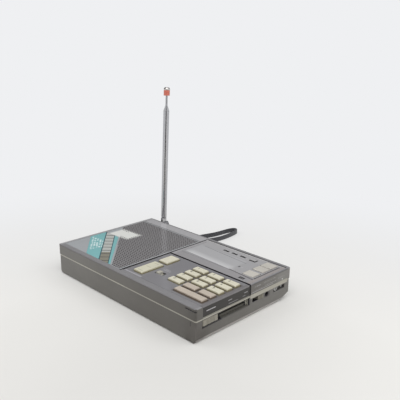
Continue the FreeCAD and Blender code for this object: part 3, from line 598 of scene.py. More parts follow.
@dataclass(frozen=True)
class TwoToneTip(Finish):
    """The antenna tip: a coloured sleeve between two heights, and bright metal above and below it."""

    sleeve: tuple[float, float] = (163.6, 168.9)

    def metal(self, sheet: ShaderSheet) -> Socket:
        """One where the tip is bare metal."""
        return sheet.sum("SUBTRACT", 1.0, sheet.inside(Span(Axis.UP.value, *self.sleeve), 0.0))

    def body_colour(self, sheet: ShaderSheet) -> object:
        """The sleeve's colour with a few scuffs, or plating.

        Args:
            sheet: The material under construction.

        Returns:
            The colour.
        """
        scuffs = sheet.spread(sheet.noise(1.2, 4.0, 0.6), 0.45, 0.7, 0.0, 0.35)
        sleeve = sheet.blend(scuffs, display_colour(self.colour), display_colour(self.colour, 1.6))
        return sheet.blend(self.metal(sheet), sleeve, display_colour((196, 192, 188)))

    def surface(self, sheet: ShaderSheet) -> None:
        """Metal above and plastic below, both fairly smooth.

        Args:
            sheet: The material under construction.
        """
        sheet.feed(sheet.surface.inputs["Metallic"], self.metal(sheet))
        sheet.surface.inputs["Roughness"].default_value = 0.28
        sheet.relief(sheet.noise(0.6, 2.0), 0.004)


# Finishes of this radio


def area(colour: Colour, share: float = 1.0, soft_mm: float = 0.0, cloud_mm: float = 0.0,
         **limits: tuple[float, float]) -> Mark:
    """A mark over a box of space.

    Args:
        colour: Its colour.
        share: How much of the finish it covers.
        soft_mm: Width of its soft edge.
        cloud_mm: Size of the clouds that break it up.
        limits: The box's limits along x, y and z, as box_of takes them.

    Returns:
        The mark.
    """
    return Mark(colour, box_of(**limits), share, soft_mm, cloud_mm)


def keycap(name: str, colour: Colour, side: Colour, marks: tuple[Mark, ...] = ()) -> MouldedPlastic:
    """The finish of a key: fine grain and well rounded edges, with a darker tone on its upright sides that is
    painted shade.
    """
    return MouldedPlastic(name, colour, marks, side=side, roughness=0.4, grain_mm=0.15, edge_mm=0.35)


# DARK paints shade in gaps, grooves, pockets and under parts, and a few dark printed lines.
DARK = (34, 32, 35)
PALE_PRINT = (186, 184, 186)
CREAM_NEAR = (150, 148, 138)
CREAM_FAR = (166, 163, 151)
SLOT_END = (172, 170, 160)
KEY_SHADE = (94, 88, 84)
LOCK_SHADE = (60, 57, 58)
WARM_EDGE = (158, 151, 148)
EDGE_HIGHLIGHT = (176, 176, 178)
KEY_OUTLINE_SHADE = (84, 80, 80)
CONTACT_WHITE = (226, 226, 223)
KEY_GAP_SHADE = (92, 90, 90)
END_SKIN = (185.9, 186.1)

SHELL_MARKS = (
    # Painted shade: the shell's faces below the face plates' tops, in the pockets and grooves, are dark.
    area(DARK, x=(4.2, 185.95), y=(4.9, 113.6), z=(19.5, 29.35)),
    # Painted shade inside the slit of the near side.
    area(DARK, x=(174.5, 185.9), y=(0.08, 0.95), z=(26.85, 27.75)),
    # Painted shade inside the pocket of the right end's slots; the next two marks paint its far part and the
    # power socket's part less dark.
    area(DARK, x=(178.0, 185.2), y=(7.2, 109.0), z=(11.9, 18.5)),
    area((92, 90, 84), x=(178.0, 185.2), y=(29.5, 61.2), z=(11.9, 18.5)),
    area((92, 90, 88), 0.8, x=(178.0, 185.4), y=(93.3, 108.9), z=(12.5, 16.5)),
    area(SLOT_END, x=(183.0, 184.5), y=(60.9, 61.1), z=(12.2, 17.9)),
    area(DARK, x=(184.5, 186.1), y=(60.9, 61.1), z=(12.0, 18.4)),
    area((40, 39, 40), 0.85, x=(184.9, 186.1), y=(61.05, 62.9), z=(11.8, 18.4)),
    area((78, 76, 73), 0.8, x=(185.0, 186.1), y=(29.0, 61.0), z=(11.3, 12.05)),
    area((64, 62, 58), 0.9, x=(184.9, 186.1), y=(29.0, 61.0), z=(18.25, 18.72)),
    area((66, 62, 64), 0.85, x=(184.0, 190.0), y=(80.9, 88.2), z=(11.9, 16.4), soft_mm=1.4),
    area(CREAM_FAR, x=(185.0, 186.1), y=(107.5, 112.2), z=(17.0, 18.75)),
    area(CREAM_NEAR, x=(184.9, 186.1), y=(7.0, 61.2), z=(19.85, 20.25)),
    area(CREAM_FAR, x=(185.5, 186.1), y=(62.6, 111.5), z=(19.85, 20.7)),
    area(DARK, 0.3, x=END_SKIN, y=(63.4, 96.0), z=(20.8, 21.5)),
    area(DARK, 0.35, x=END_SKIN, y=(66.0, 94.0), z=(23.9, 24.6), cloud_mm=3.0),
    area(DARK, x=(25.5, 36.5), y=(108.9, 115.2), z=(7.9, 15.7)),
    *(area(PALE_PRINT, share, x=END_SKIN, y=y, z=z, cloud_mm=1.2) for share, y, z in (
        (0.6, (67.0, 75.0), (25.9, 26.6)), (0.35, (67.5, 77.0), (22.5, 23.0)),
        (0.55, (79.0, 95.0), (26.3, 26.9)), (0.6, (80.5, 95.5), (23.1, 23.8)),
        (0.6, (98.5, 107.5), (24.2, 24.8)))),
    area((230, 230, 226), 0.8, x=END_SKIN, y=(103.9, 105.1), z=(21.6, 22.6)),
    area(PALE_PRINT, 0.4, x=END_SKIN, y=(63.4, 92.0), z=(21.6, 22.3)),
    # Painted shade along the top of the right end's far half.
    area(DARK, 0.42, x=(184.4, 186.1), y=(63.0, 112.5), z=(28.5, 29.7)),
    # Painted highlight on the rim along the left end.
    area(EDGE_HIGHLIGHT, 0.5, x=(-0.1, 4.1), z=(29.6, 30.3)),
    # Painted shade along the top of the near side.
    area((78, 74, 75), 0.5, y=(-4.0, 1.1), z=(28.5, 29.9), soft_mm=1.0),
    # Painted shade in the grooves round the keypad and the display.
    area(DARK, 0.85, x=(88.8, 90.7), y=(4.0, 61.5), z=(28.0, 30.2)),
    area(DARK, 0.85, x=(88.6, 89.7), y=(62.6, 111.0), z=(28.0, 30.2)),
    area(DARK, x=(89.0, 185.4), y=(61.3, 62.7), z=(28.0, 30.2)),
    # Painted reflection of the pale table on the right end's bottom chamfer.
    area((186, 181, 179), 0.85, x=(181.0, 190.0), y=(2.0, 130.0), z=(-2.0, 3.1), soft_mm=1.6),
    # Painted shadow of the volume knob on the end face below it.
    area(DARK, 0.85, x=(185.4, 186.1), y=(7.2, 29.0), z=(11.3, 12.2)),
    # Painted shade in the groove along the display's far edge.
    area(DARK, 0.7, x=(90.0, 184.8), y=(111.0, 111.9), z=(28.0, 30.2)),
    area(DARK, 0.6, x=(179.4, 180.2), y=(-1.0, 1.0), z=(13.8, 17.8)),
)
# Painted light and shade on the case's upright sides: darker towards the right of the near side, and paler and
# darker patches on the right end.
SIDE_LIGHT_AND_SHADE = (
    area((66, 61, 56), 0.55, x=(82.0, 300.0), y=(-100.0, 30.0), soft_mm=115.0),
    area((118, 114, 111), 0.35, x=(178.0, 210.0), y=(-20.0, 9.0), z=(-20.0, 17.0), soft_mm=8.0),
    area((96, 92, 88), 0.4, x=(178.0, 210.0), y=(40.0, 78.0), z=(19.0, 50.0), soft_mm=8.0),
    area((132, 130, 127), 0.5, x=(178.0, 210.0), y=(98.0, 140.0), z=(19.0, 50.0), soft_mm=8.0),
)
# The case's side tone is painted shade: upright faces are darker than the top.
CASE_GREY = MouldedPlastic("case_grey", (132, 131, 133), SHELL_MARKS, side=(107, 105, 101), side_marks=SIDE_LIGHT_AND_SHADE,
                           roughness=0.36)

KEYPAD_MARKS = (
    # Painted shade on the plate's sides below its top.
    area(DARK, x=(91.0, 185.5), y=(7.2, 61.2), z=(28.0, 29.6)),
    area(KEY_SHADE, 0.75, x=(131.2, 183.2), y=(27.0, 56.4), z=(25.0, 35.0), soft_mm=1.4),
    area(KEY_SHADE, 0.75, x=(148.4, 183.2), y=(9.2, 27.0), z=(25.0, 35.0), soft_mm=1.4),
    area((112, 108, 108), 0.6, x=(183.2, 190.0)),
    area(LOCK_SHADE, 0.8, x=(114.0, 116.4), y=(21.8, 26.2), soft_mm=1.0),
    area(LOCK_SHADE, 0.7, x=(120.2, 124.0), y=(22.6, 27.2), soft_mm=1.0),
    # Painted shade along the plate's far and left edges by the grooves.
    area(DARK, y=(60.7, 61.5)),
    area(DARK, x=(90.5, 91.0)),
    # Painted highlight along the plate's front edge.
    area((186, 184, 190), 0.55, x=(92.0, 113.4), y=(7.3, 9.0), soft_mm=0.8),
    area(PALE_PRINT, 0.45, x=(114.8, 123.4), y=(31.2, 32.0), z=(29.7, 30.1), soft_mm=0.5),
    area(PALE_PRINT, 0.45, x=(115.6, 122.0), y=(33.0, 33.8), z=(29.7, 30.1), soft_mm=0.5),
)
KEYPAD_GREY = PaintedPlate("keypad_grey", (129, 128, 131), KEYPAD_MARKS, roughness=0.16)
# The line along the flat keys' near edge where painted shadow lies.
KEY_SHADOW_LINE = beside((152.4, 73.5), (181.0, 70.8), -0.6, 0.6)
BEZEL_GREY = PaintedPlate("bezel_grey", (152, 150, 152),
                          # Painted shade on the bezel's sides below its top.
                          (area(DARK, x=(90.5, 184.0), y=(63.0, 110.6), z=(28.0, 29.6)),
                           area(WARM_EDGE, 0.7, x=(180.6, 190.0)),
                           # Painted highlights along the left and far edges.
                           area((170, 169, 171), 0.5, x=(90.0, 93.4)),
                           area((194, 193, 192), 0.7, x=(60.0, 166.0), y=(108.0, 110.6)),
                           area((170, 168, 166), 0.5, x=(166.0, 190.0), y=(108.8, 110.6)),
                           # Painted shade in the groove along the far edge, and round the light button.
                           area(DARK, 0.7, y=(110.7, 111.3)),
                           area(DARK, 0.75, x=(168.8, 174.8), y=(65.4, 68.7)),
                           # Painted shadow along the near edge of the flat keys.
                           Mark(KEY_OUTLINE_SHADE, (KEY_SHADOW_LINE, *box_of(x=(152.0, 180.8))), 0.85),
                           # Painted shade in the groove by the keypad.
                           area(DARK, y=(62.5, 62.9))), roughness=0.16)
LEGEND_GREY = PaintedPlate("legend_grey", (171, 170, 172), roughness=0.1)

PIERCED = (beside((82.5, 0.0), (0.0, 77.3), 0.0, 200.0),)
PATCH = (beside((35.4, 54.4), (9.2, 52.0), 0.0, 60.0), beside((9.4, 70.6), (36.2, 72.4), 0.0, 60.0),
         beside((9.0, 51.3), (9.2, 69.9), 0.0, 60.0), beside((36.0, 72.4), (35.2, 54.4), 0.0, 60.0))
GRILLE_MARKS = (
    Mark((134, 132, 133), (*PIERCED, *box_of(x=(3.0, 87.0), y=(5.8, 101.2)))),
    Mark((226, 227, 223), PATCH, 0.97, soft_mm=3.0),
    # Painted highlight along the plate's plain right margin.
    area(EDGE_HIGHLIGHT, 0.6, x=(86.95, 88.5), y=(20.0, 101.2)),
    # Painted shade in the holes and under the plate.
    area((18, 18, 19), z=(28.0, 29.72)),
)
GRILLE_GREY = PaintedPlate("grille_grey", (165, 168, 171), GRILLE_MARKS, roughness=0.1, edge_mm=0.0)

TURQUOISE = (128, 182, 184)
FOIL_PALE = (214, 232, 232)
FOIL_DARK = (66, 96, 104)
FOIL_SILVER = (184, 187, 183)
FOIL_STONE = (138, 135, 122)
BLOCK_LINE = ((59.1, 4.2), (13.1, 45.1))
STRIPE_LINE = ((72.1, 4.5), (21.9, 49.1))
FOIL_MARKS = (
    *(Mark(FOIL_PALE, (beside((38.4, 5.2), (4.2, 33.6), 2.0 + 2.5 * i, 3.7 + 2.5 * i),
                       beside((0.0, 0.0), (60.0, 66.0), -18.0 + 2.4 * i, 15.0 - 1.4 * i)), 0.95, cloud_mm=3.4)
      for i in range(6)),
    Mark(FOIL_DARK, (beside(*BLOCK_LINE, -0.5, 0.5),)),
    Mark(FOIL_SILVER, (beside(*BLOCK_LINE, 0.5, 90.0),)),
    Mark(FOIL_STONE, (beside(*BLOCK_LINE, 0.5, 90.0), beside((0.0, -40.0), (60.0, 20.0), -8.0, 60.0))),
    *(Mark((84, 84, 82), (beside(*BLOCK_LINE, 0.5, 90.0),
                          beside((0.0, 11.4 * i), (60.0, 60.0 + 11.4 * i), -0.7, 0.7)), 0.9)
      for i in range(-5, 5)),
    Mark(FOIL_DARK, (beside(*STRIPE_LINE, -0.4, 0.4),)),
    Mark(TURQUOISE, (beside(*STRIPE_LINE, 0.4, 90.0),)),
)
FOIL = PaintedPlate("slanted_foil", TURQUOISE, FOIL_MARKS, roughness=0.14, scuff=0.2)

REFLECTION_LINE = ((96.5, 75.9), (150.3, 73.5))
WINDOW_MARKS = (
    area((182, 182, 184), 0.6, x=(95.6, 152.6), y=(75.6, 97.6), soft_mm=2.0),
    area((176, 175, 176), 0.5, y=(99.5, 110.0)),
    # Painted reflection: a soft pale streak, and a darker band beyond it with a thin line at its edge.
    Mark((224, 224, 225), (beside(*REFLECTION_LINE, -4.5, 3.5), *box_of(x=(98.0, 153.0))), 0.6, soft_mm=8.0),
    Mark((158, 157, 159), (beside(*REFLECTION_LINE, 0.0, 8.0), *box_of(x=(93.0, 153.0))), 0.9),
    Mark((120, 119, 121), (beside(*REFLECTION_LINE, 0.0, 0.8), *box_of(x=(100.0, 152.0))), 0.5),
    *(area((190, 190, 192), 0.6, x=(x - 3.9, x - 0.4), y=(105.3, 106.5)) for x in (122.3, 132.6, 142.6)),
    # Painted shadow along the near edge of the flat keys.
    Mark(KEY_OUTLINE_SHADE, (KEY_SHADOW_LINE, *box_of(x=(152.0, 180.8))), 0.85),
    # Painted shade in the gaps between the flat keys.
    area(KEY_GAP_SHADE, 0.8, x=(166.6, 178.4), y=(84.0, 84.8)),
    area(KEY_GAP_SHADE, 0.7, x=(167.6, 178.4), y=(86.8, 87.6)),
    # Painted shade along the near edge of the first flat key.
    area((104, 102, 100), 0.8, x=(167.6, 177.6), y=(97.1, 98.6)),
    Mark((104, 104, 107), (beside((99.9, 97.2), (155.0, 93.1), -0.3, 0.3), *box_of(x=(100.0, 155.0))), 0.7),
    area((70, 70, 72), 0.9, x=(153.9, 155.5), y=(82.6, 85.0)),
    area((196, 196, 196), 0.5, x=(156.2, 158.6), y=(83.4, 84.4)),
    area((196, 196, 198), 0.45, x=(116.0, 149.0), y=(99.5, 100.3), cloud_mm=2.0),
    # Painted shadow along the right side of the flat keys.
    area((80, 76, 76), 0.85, x=(179.6, 181.0), y=(70.0, 107.6)),
    area(WARM_EDGE, 0.7, x=(181.0, 181.6)),
    area((96, 96, 99), 0.6, x=(93.3, 93.9)),
    area((110, 110, 113), 0.6, y=(72.4, 73.0)),
    # Painted shade on the window's sides below its top.
    area(DARK, z=(29.0, 29.6)),
)
SMOKED_WINDOW = PaintedPlate("smoked_window", (168, 167, 169), WINDOW_MARKS, roughness=0.12, coat=0.5)

PANEL_MARKS = (
    *(area(PALE_PRINT, share, y=y, z=z) for share, y, z in (
        (0.9, (11.3, 21.3), (24.6, 25.3)), (0.7, (35.6, 40.0), (24.8, 25.4)),
        (0.4, (36.2, 47.0), (22.1, 22.6)), (0.6, (54.4, 58.8), (25.0, 25.6)),
        (0.35, (52.6, 56.0), (22.6, 23.2)))),
    area(CREAM_NEAR, z=(20.0, 20.7)),
)
DARK_GLOSS = PaintedPlate("dark_gloss", (36, 33, 31), PANEL_MARKS, roughness=0.28, coat=0.1)
TRACK_MARKS = (
    # Painted shadow of the volume knob on the track where it stands at rest.
    area((20, 20, 21), y=(5.0, 28.8)),
    area((24, 24, 25), y=(57.4, 59.3)),
    area(SLOT_END, y=(59.3, 61.5), z=(12.2, 17.9)),
    area(PALE_PRINT, 0.4, y=(31.0, 33.0), z=(14.6, 15.2)),
    area(PALE_PRINT, 0.3, y=(45.0, 48.0), z=(14.9, 15.5)),
)
TRACK_GREY = MouldedPlastic("track_grey", (88, 86, 80), TRACK_MARKS, roughness=0.5)
SOCKET_MARKS = (
    area(CONTACT_WHITE, x=(182.9, 184.6), y=(95.9, 99.3)),
    *(area(CONTACT_WHITE, x=(182.0, 182.9), y=y, z=(12.6, 15.2)) for y in ((101.2, 103.6), (106.2, 108.6))),
    area((120, 118, 114), 0.8, x=(182.0, 183.0), y=(98.6, 106.4), z=(12.6, 14.7)),
    area((16, 16, 17), x=(170.0, 184.3), y=(96.8, 98.5), z=(13.5, 15.3)),
)
SOCKET_BLACK = MouldedPlastic("socket_black", (40, 39, 42), SOCKET_MARKS, roughness=0.35)

BAND_CREAM = MouldedPlastic("band_cream", (182, 179, 167), (
    area((140, 137, 126), 0.4, x=(184.0, 187.0), y=(61.0, 117.0)),
    # Darker on the near side: painted shade.
    area((132, 129, 120), 0.3, x=(100.0, 184.0), y=(-1.0, 1.5), soft_mm=0.4)), roughness=0.5)
# Darker side tone of the cream keys: painted shade.
CREAM_SIDE_SHADE = (140, 132, 104)
KEY_CREAM = keycap("key_cream", (213, 209, 190), CREAM_SIDE_SHADE)
ROCKER_MARKS = tuple(area((140, 136, 114), 0.5, x=(101.4, 107.0), y=(y, y + 0.8), z=(30.8, 32.4))
                     for y in (14.2, 23.5, 32.4))
ROCKER_CREAM = keycap("rocker_cream", (205, 202, 182), CREAM_SIDE_SHADE, ROCKER_MARKS)
# The side tone of the taupe keys is painted shade.
KEY_TAUPE = keycap("key_taupe", (190, 179, 166), (112, 98, 84))
KNOB_CREAM = MouldedPlastic("knob_cream", (142, 138, 127), (
    # Painted shade on the tone knob.
    area((94, 89, 74), 0.45, y=(64.0, 82.0)),
    # Painted shade along the volume knob's lower part.
    area(DARK, 0.95, y=(6.0, 30.0), z=(10.0, 13.3))), roughness=0.45, edge_mm=0.2)
LOCK_CREAM = MouldedPlastic("lock_cream", (182, 179, 168), roughness=0.45, edge_mm=0.2)
FLAT_KEY = MouldedPlastic("flat_key", (191, 187, 179), (
    # Painted shade along the keys' right and left edges.
    area((146, 142, 138), 0.7, x=(177.7, 178.6)),
    area((156, 154, 152), 0.7, x=(165.9, 166.9))), roughness=0.4, edge_mm=0.2)
BLACK_PLASTIC = MouldedPlastic("black_plastic", (40, 39, 42), roughness=0.4)
SLIDE_GREY = MouldedPlastic("slide_grey", (78, 76, 77), (
    # The set button's top is pale; strips along its near and right sides are left dark as painted shade.
    area((176, 175, 175), 0.9, x=(151.2, 157.3), y=(101.9, 105.3)),
    area((128, 126, 126), 0.8, x=(169.8, 173.2), y=(67.3, 68.3))), roughness=0.4)
CHROME = BrightMetal("chrome", (184, 184, 186))
SHADED_METAL = BrightMetal("shaded_metal", (118, 118, 120), roughness=0.3)
STEEL = BrightMetal("steel", (160, 160, 160), roughness=0.3, line_mm=(1.0, 1.0, 1.0))
SOFT_RUBBER = MouldedPlastic("soft_rubber", (38, 38, 38), roughness=0.8, grain_mm=0.4, grain_depth_mm=0.03)
MAT_SILICONE = MouldedPlastic("mat_silicone", (160, 158, 152), roughness=0.7)
BOARD_LACQUER = PaintedPlate("board_lacquer", (62, 96, 56), roughness=0.3)
DISPLAY_GLASS = PaintedPlate("display_glass", (150, 156, 142), roughness=0.1)
CONE_PAPER = MouldedPlastic("cone_paper", (34, 33, 32), roughness=0.85, grain_mm=0.8, grain_depth_mm=0.08)
CELL_WRAP = PaintedPlate("cell_wrap", (120, 112, 84), roughness=0.3, metallic=0.4)
INK_DARK = PaintedPlate("ink_dark", (84, 80, 74), roughness=0.5, edge_mm=0.0)
BACK_GREY = MouldedPlastic("back_grey", (96, 96, 98), roughness=0.9)
STRAP_WEAVE = WovenRibbon("strap_weave", (52, 52, 57))
TIP = TwoToneTip("antenna_tip", (192, 104, 86))


# Meshes from arrays


def mesh_piece(name: str, points: np.ndarray, *groups: np.ndarray, smooth: bool = False) -> bpy.types.Object:
    """Makes a mesh object from whole arrays.

    Args:
        name: The piece's name.
        points: Vertices in case millimetres, one row each; those that no face uses are dropped.
        groups: Faces as rows of vertex numbers, each group with one count of corners.
        smooth: Whether the faces are shaded smooth.

    Returns:
        The object, linked to the scene, with its place in its mesh.
    """
    used, corners = np.unique(np.concatenate([group.ravel() for group in groups]), return_inverse=True)
    totals = np.concatenate([np.full(len(group), group.shape[1]) for group in groups])
    mesh = bpy.data.meshes.new(name)
    mesh.vertices.add(len(used))
    mesh.vertices.foreach_set("co", place(points[used]).astype(np.float32).ravel())
    mesh.loops.add(len(corners))
    mesh.loops.foreach_set("vertex_index", corners.ravel().astype(np.int32))
    mesh.polygons.add(len(totals))
    mesh.polygons.foreach_set("loop_start", (np.cumsum(totals) - totals).astype(np.int32))
    mesh.polygons.foreach_set("use_smooth", np.full(len(totals), smooth))
    mesh.update(calc_edges=True)
    mesh.validate()
    piece = bpy.data.objects.new(name, mesh)
    bpy.context.scene.collection.objects.link(piece)
    return piece


def tube_faces(rings: int, around: int) -> np.ndarray:
    """The quads between rings of points, one after the other.

    Args:
        rings: How many rings there are.
        around: How many points each ring has.

    Returns:
        Rows of four vertex numbers.
    """
    i = np.arange(rings - 1)[:, None] * around
    j = np.arange(around)[None, :]
    beside_j = (j + 1) % around
    return np.stack([i + j, i + around + j, i + around + beside_j, i + beside_j], axis=-1).reshape(-1, 4)


# Sub-assemblies


@dataclass
class Piecework:
    """What every sub-assembly shares: the frame's nodes and the way pieces are reported."""

    def node(self, name: str) -> bpy.types.Object:
        """The object of a CAD node."""
        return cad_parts[name]

    def dress(self, finish: Finish, *names: str) -> None:
        """Puts a finish on CAD nodes and reports each.

        Args:
            finish: The finish to use.
            names: The nodes' names.
        """
        for name in names:
            finish.dress(self.node(name))
            log.info("dressed %s", name)

    def add(self, piece: bpy.types.Object, finish: Finish, body: str, slot: str) -> bpy.types.Object:
        """Dresses a new piece and lets it ride on a body.

        Args:
            piece: The new piece.
            finish: Its finish.
            body: The CAD body that carries it.
            slot: Not used.

        Returns:
            The same piece.
        """
        finish.dress(piece)
        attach(piece, body)
        log.info("added %s on %s", piece.name, body)
        return piece


@dataclass
class Housing(Piecework):
    """The two shells, the band between them and what is fixed to their outside."""

    def build(self) -> None:
        """Dresses the housing's nodes."""
        self.dress(CASE_GREY, "front_shell", "rear_shell", "battery_door")
        self.dress(BAND_CREAM, "waist_band")
        self.dress(KEYPAD_GREY, "keypad_panel")
        self.dress(BEZEL_GREY, "display_bezel")
        self.dress(LEGEND_GREY, "legend_strip")
        self.dress(STEEL, "case_screws")
        self.dress(SOFT_RUBBER, "rubber_feet")


@dataclass
class SpeakerFront(Piecework):
    """The finely perforated plate over the speaker, and the foil label on its corner."""

    low: tuple[float, float] = (4.0, 5.0)
    high: tuple[float, float] = (88.6, 102.2)
    levels: tuple[float, float] = (29.8, 28.8)
    pitch: float = 2.59
    hole: float = 0.76
    solid: float = 2.6
    first: tuple[float, float] = (5.86, 6.6)
    cells: tuple[int, int] = (32, 37)
    corners: int = 8

    def grid_lines(self, axis: int) -> np.ndarray:
        """Where the plate's grid lines run: its two edges, and half a pitch apart between them."""
        inner = self.first[axis] + (np.arange(2 * self.cells[axis] + 1) - 1) * self.pitch / 2
        return np.concatenate([[self.low[axis]], inner, [self.high[axis]]])

    def pierced(self) -> tuple[np.ndarray, np.ndarray]:
        """Which cells have a hole: those clear of the label and of the printed patch.

        Returns:
            The column and the row of each pierced cell.
        """
        column, row = np.meshgrid(np.arange(self.cells[0]), np.arange(self.cells[1]), indexing="ij")
        x = self.first[0] + column * self.pitch
        y = self.first[1] + row * self.pitch
        clear = np.ones(x.shape, dtype=bool)
        for slab in PIERCED:
            clear &= (x * slab.direction[0] + y * slab.direction[1]) > slab.low
        whole = np.ones(x.shape, dtype=bool)
        for slab in PATCH:
            along = x * slab.direction[0] + y * slab.direction[1]
            whole &= (along > slab.low + self.solid) & (along < slab.high)
        return np.nonzero(clear & ~whole)

    def perforated(self) -> bpy.types.Object:
        """The whole plate: square cells in straight rows, most with an eight-sided hole.

        Grid points stand half a pitch apart, so each cell has eight points around its middle, which the
        rounded cosine and sine of eight turns find. A hole is a ring of eight points about the middle, and
        quads join the two rings above and below and line the hole.

        Returns:
            The plate.
        """
        gx, gy = self.grid_lines(0), self.grid_lines(1)
        nx, ny = len(gx), len(gy)
        x, y = np.meshgrid(gx, gy, indexing="ij")
        flat = np.stack([x, y], axis=-1).reshape(-1, 2)
        column, row = self.pierced()
        middle = (2 * column + 2) * ny + 2 * row + 2
        turn = np.arange(self.corners) * 2 * math.pi / self.corners
        circle = np.stack([np.cos(turn), np.sin(turn)], axis=-1)
        steps = np.round(circle * 1.2).astype(int)
        outer = middle[:, None] + steps[:, 0] * ny + steps[:, 1]
        ring = flat[middle][:, None, :] + circle[None] * self.hole
        inner = nx * ny + np.arange(len(middle) * self.corners).reshape(-1, self.corners)
        layer = np.concatenate([flat, ring.reshape(-1, 2)])
        count = len(layer)
        points = np.concatenate([np.column_stack([layer, np.full(count, level)]) for level in self.levels])
        open_quads = np.zeros((nx - 1, ny - 1), dtype=bool)
        for i, j in ((1, 1), (1, 2), (2, 1), (2, 2)):
            open_quads[2 * column + i, 2 * row + j] = True
        i, j = np.nonzero(~open_quads)
        corner = i * ny + j
        plain = np.stack([corner, corner + ny, corner + ny + 1, corner + 1], axis=-1)
        following_inner = np.roll(inner, -1, axis=1)
        around = np.stack([outer, np.roll(outer, -1, axis=1), following_inner, inner], axis=-1).reshape(-1, 4)
        wall = np.stack([inner, following_inner, following_inner + count, inner + count], axis=-1)
        rim = np.concatenate([np.arange(nx - 1) * ny, (nx - 1) * ny + np.arange(ny - 1),
                              (nx * ny - 1) - np.arange(nx - 1) * ny, (ny - 1) - np.arange(ny - 1)])
        following = np.roll(rim, -1)
        side = np.stack([rim + count, following + count, following, rim], axis=-1)
        below = (plain[:, ::-1] + count, around[:, ::-1] + count)
        return mesh_piece("speaker_plate", points, plain, below[0], around, below[1],
                          wall.reshape(-1, 4), side)

    def build(self) -> None:
        """Builds the plate and dresses the label and the speaker."""
        plate = self.perforated()
        self.add(plate, GRILLE_GREY, "case", "grille_grey")
        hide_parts("speaker_grille")
        self.dress(FOIL, "corner_label")
        self.dress(CONE_PAPER, "speaker_cone")
        self.dress(STEEL, "loudspeaker")


class Legend(Enum):
    """How far a key's number stands from the key's middle, as shares of the key's width and depth."""

    ALONG = -0.2
    ACROSS = 0.12


@dataclass
class Keypad(Piecework):
    """The keys with their printed numbers, and the small lock slide."""

    top: float = 31.6
    columns: Point = (139.5, 156.9, 174.3)
    first_row: float = 51.6
    row_step: float = 9.4
    key_size: tuple[float, float] = (14.0, 6.7)
    letter: float = 3.7
    ink: float = 0.02

    def number(self, digit: int, x: float, y: float) -> bpy.types.Object:
        """One number as flat print on its key.

        Args:
            digit: The number to print.
            x: Middle of the print along the case.
            y: Middle of the print across the case.

        Returns:
            The print as a mesh.
        """
        curve = bpy.data.curves.new("print_%d" % digit, "FONT")
        curve.body = str(digit)
        curve.size = self.letter * MM
        curve.align_x = "CENTER"
        curve.align_y = "CENTER"
        curve.extrude = self.ink * MM
        source = bpy.data.objects.new("print_source", curve)
        mesh = bpy.data.meshes.new_from_object(source)
        bpy.data.objects.remove(source)
        mesh.transform(Matrix.Translation(Vector(place(np.array([x, y, self.top + self.ink])))))
        piece = bpy.data.objects.new("key_print_%d" % digit, mesh)
        bpy.context.scene.collection.objects.link(piece)
        return piece

    def build(self) -> None:
        """Dresses the keys and prints their numbers."""
        for digit in range(10):
            self.dress(KEY_CREAM, "key_%d" % digit)
            row, column = divmod(digit - 1, 3) if digit else (3, 0)
            x = self.columns[column] + Legend.ALONG.value * self.key_size[0]
            y = self.first_row - row * self.row_step + Legend.ACROSS.value * self.key_size[1]
            self.add(self.number(digit, x, y), INK_DARK, "key_%d_body" % digit, "black_plastic")
        self.dress(KEY_TAUPE, "left_function_key", "right_function_key", "wide_key")
        self.dress(ROCKER_CREAM, "rocker_key")
        self.dress(KEY_CREAM, "scan_key")
        self.dress(LOCK_CREAM, "lock_slide")


@dataclass
class Display(Piecework):
    """The smoked window, the display behind it and the flat keys beside it."""

    def build(self) -> None:
        """Dresses the display's nodes."""
        self.dress(SMOKED_WINDOW, "display_window")
        self.dress(DISPLAY_GLASS, "lcd_module")
        self.dress(FLAT_KEY, "mode_key_1", "mode_key_2", "mode_key_3")
        self.dress(SLIDE_GREY, "set_button", "light_button", "timer_slide_1", "timer_slide_2", "timer_slide_3")


@dataclass
class RightEnd(Piecework):
    """The dark plate, the slides and the sockets of the right end."""

    def build(self) -> None:
        """Dresses the right end's nodes."""
        self.dress(DARK_GLOSS, "end_panel")
        self.dress(TRACK_GREY, "volume_track")
        self.dress(SOCKET_BLACK, "earphone_jack", "power_jack")
        self.dress(KNOB_CREAM, "volume_knob", "tone_knob")


@dataclass
class Antenna(Piecework):
    """The bush, the foot and the drawn tubes."""

    tubes: int = 5

    def build(self) -> None:
        """Dresses the antenna's nodes."""
        self.dress(BLACK_PLASTIC, "antenna_mount")
        self.dress(SHADED_METAL, "antenna_foot", "antenna_pin")
        self.dress(CHROME, "antenna_rod")
        self.dress(CHROME, *("antenna_tube_%d" % (stage + 1) for stage in range(self.tubes)))
        self.dress(TIP, "antenna_tip")


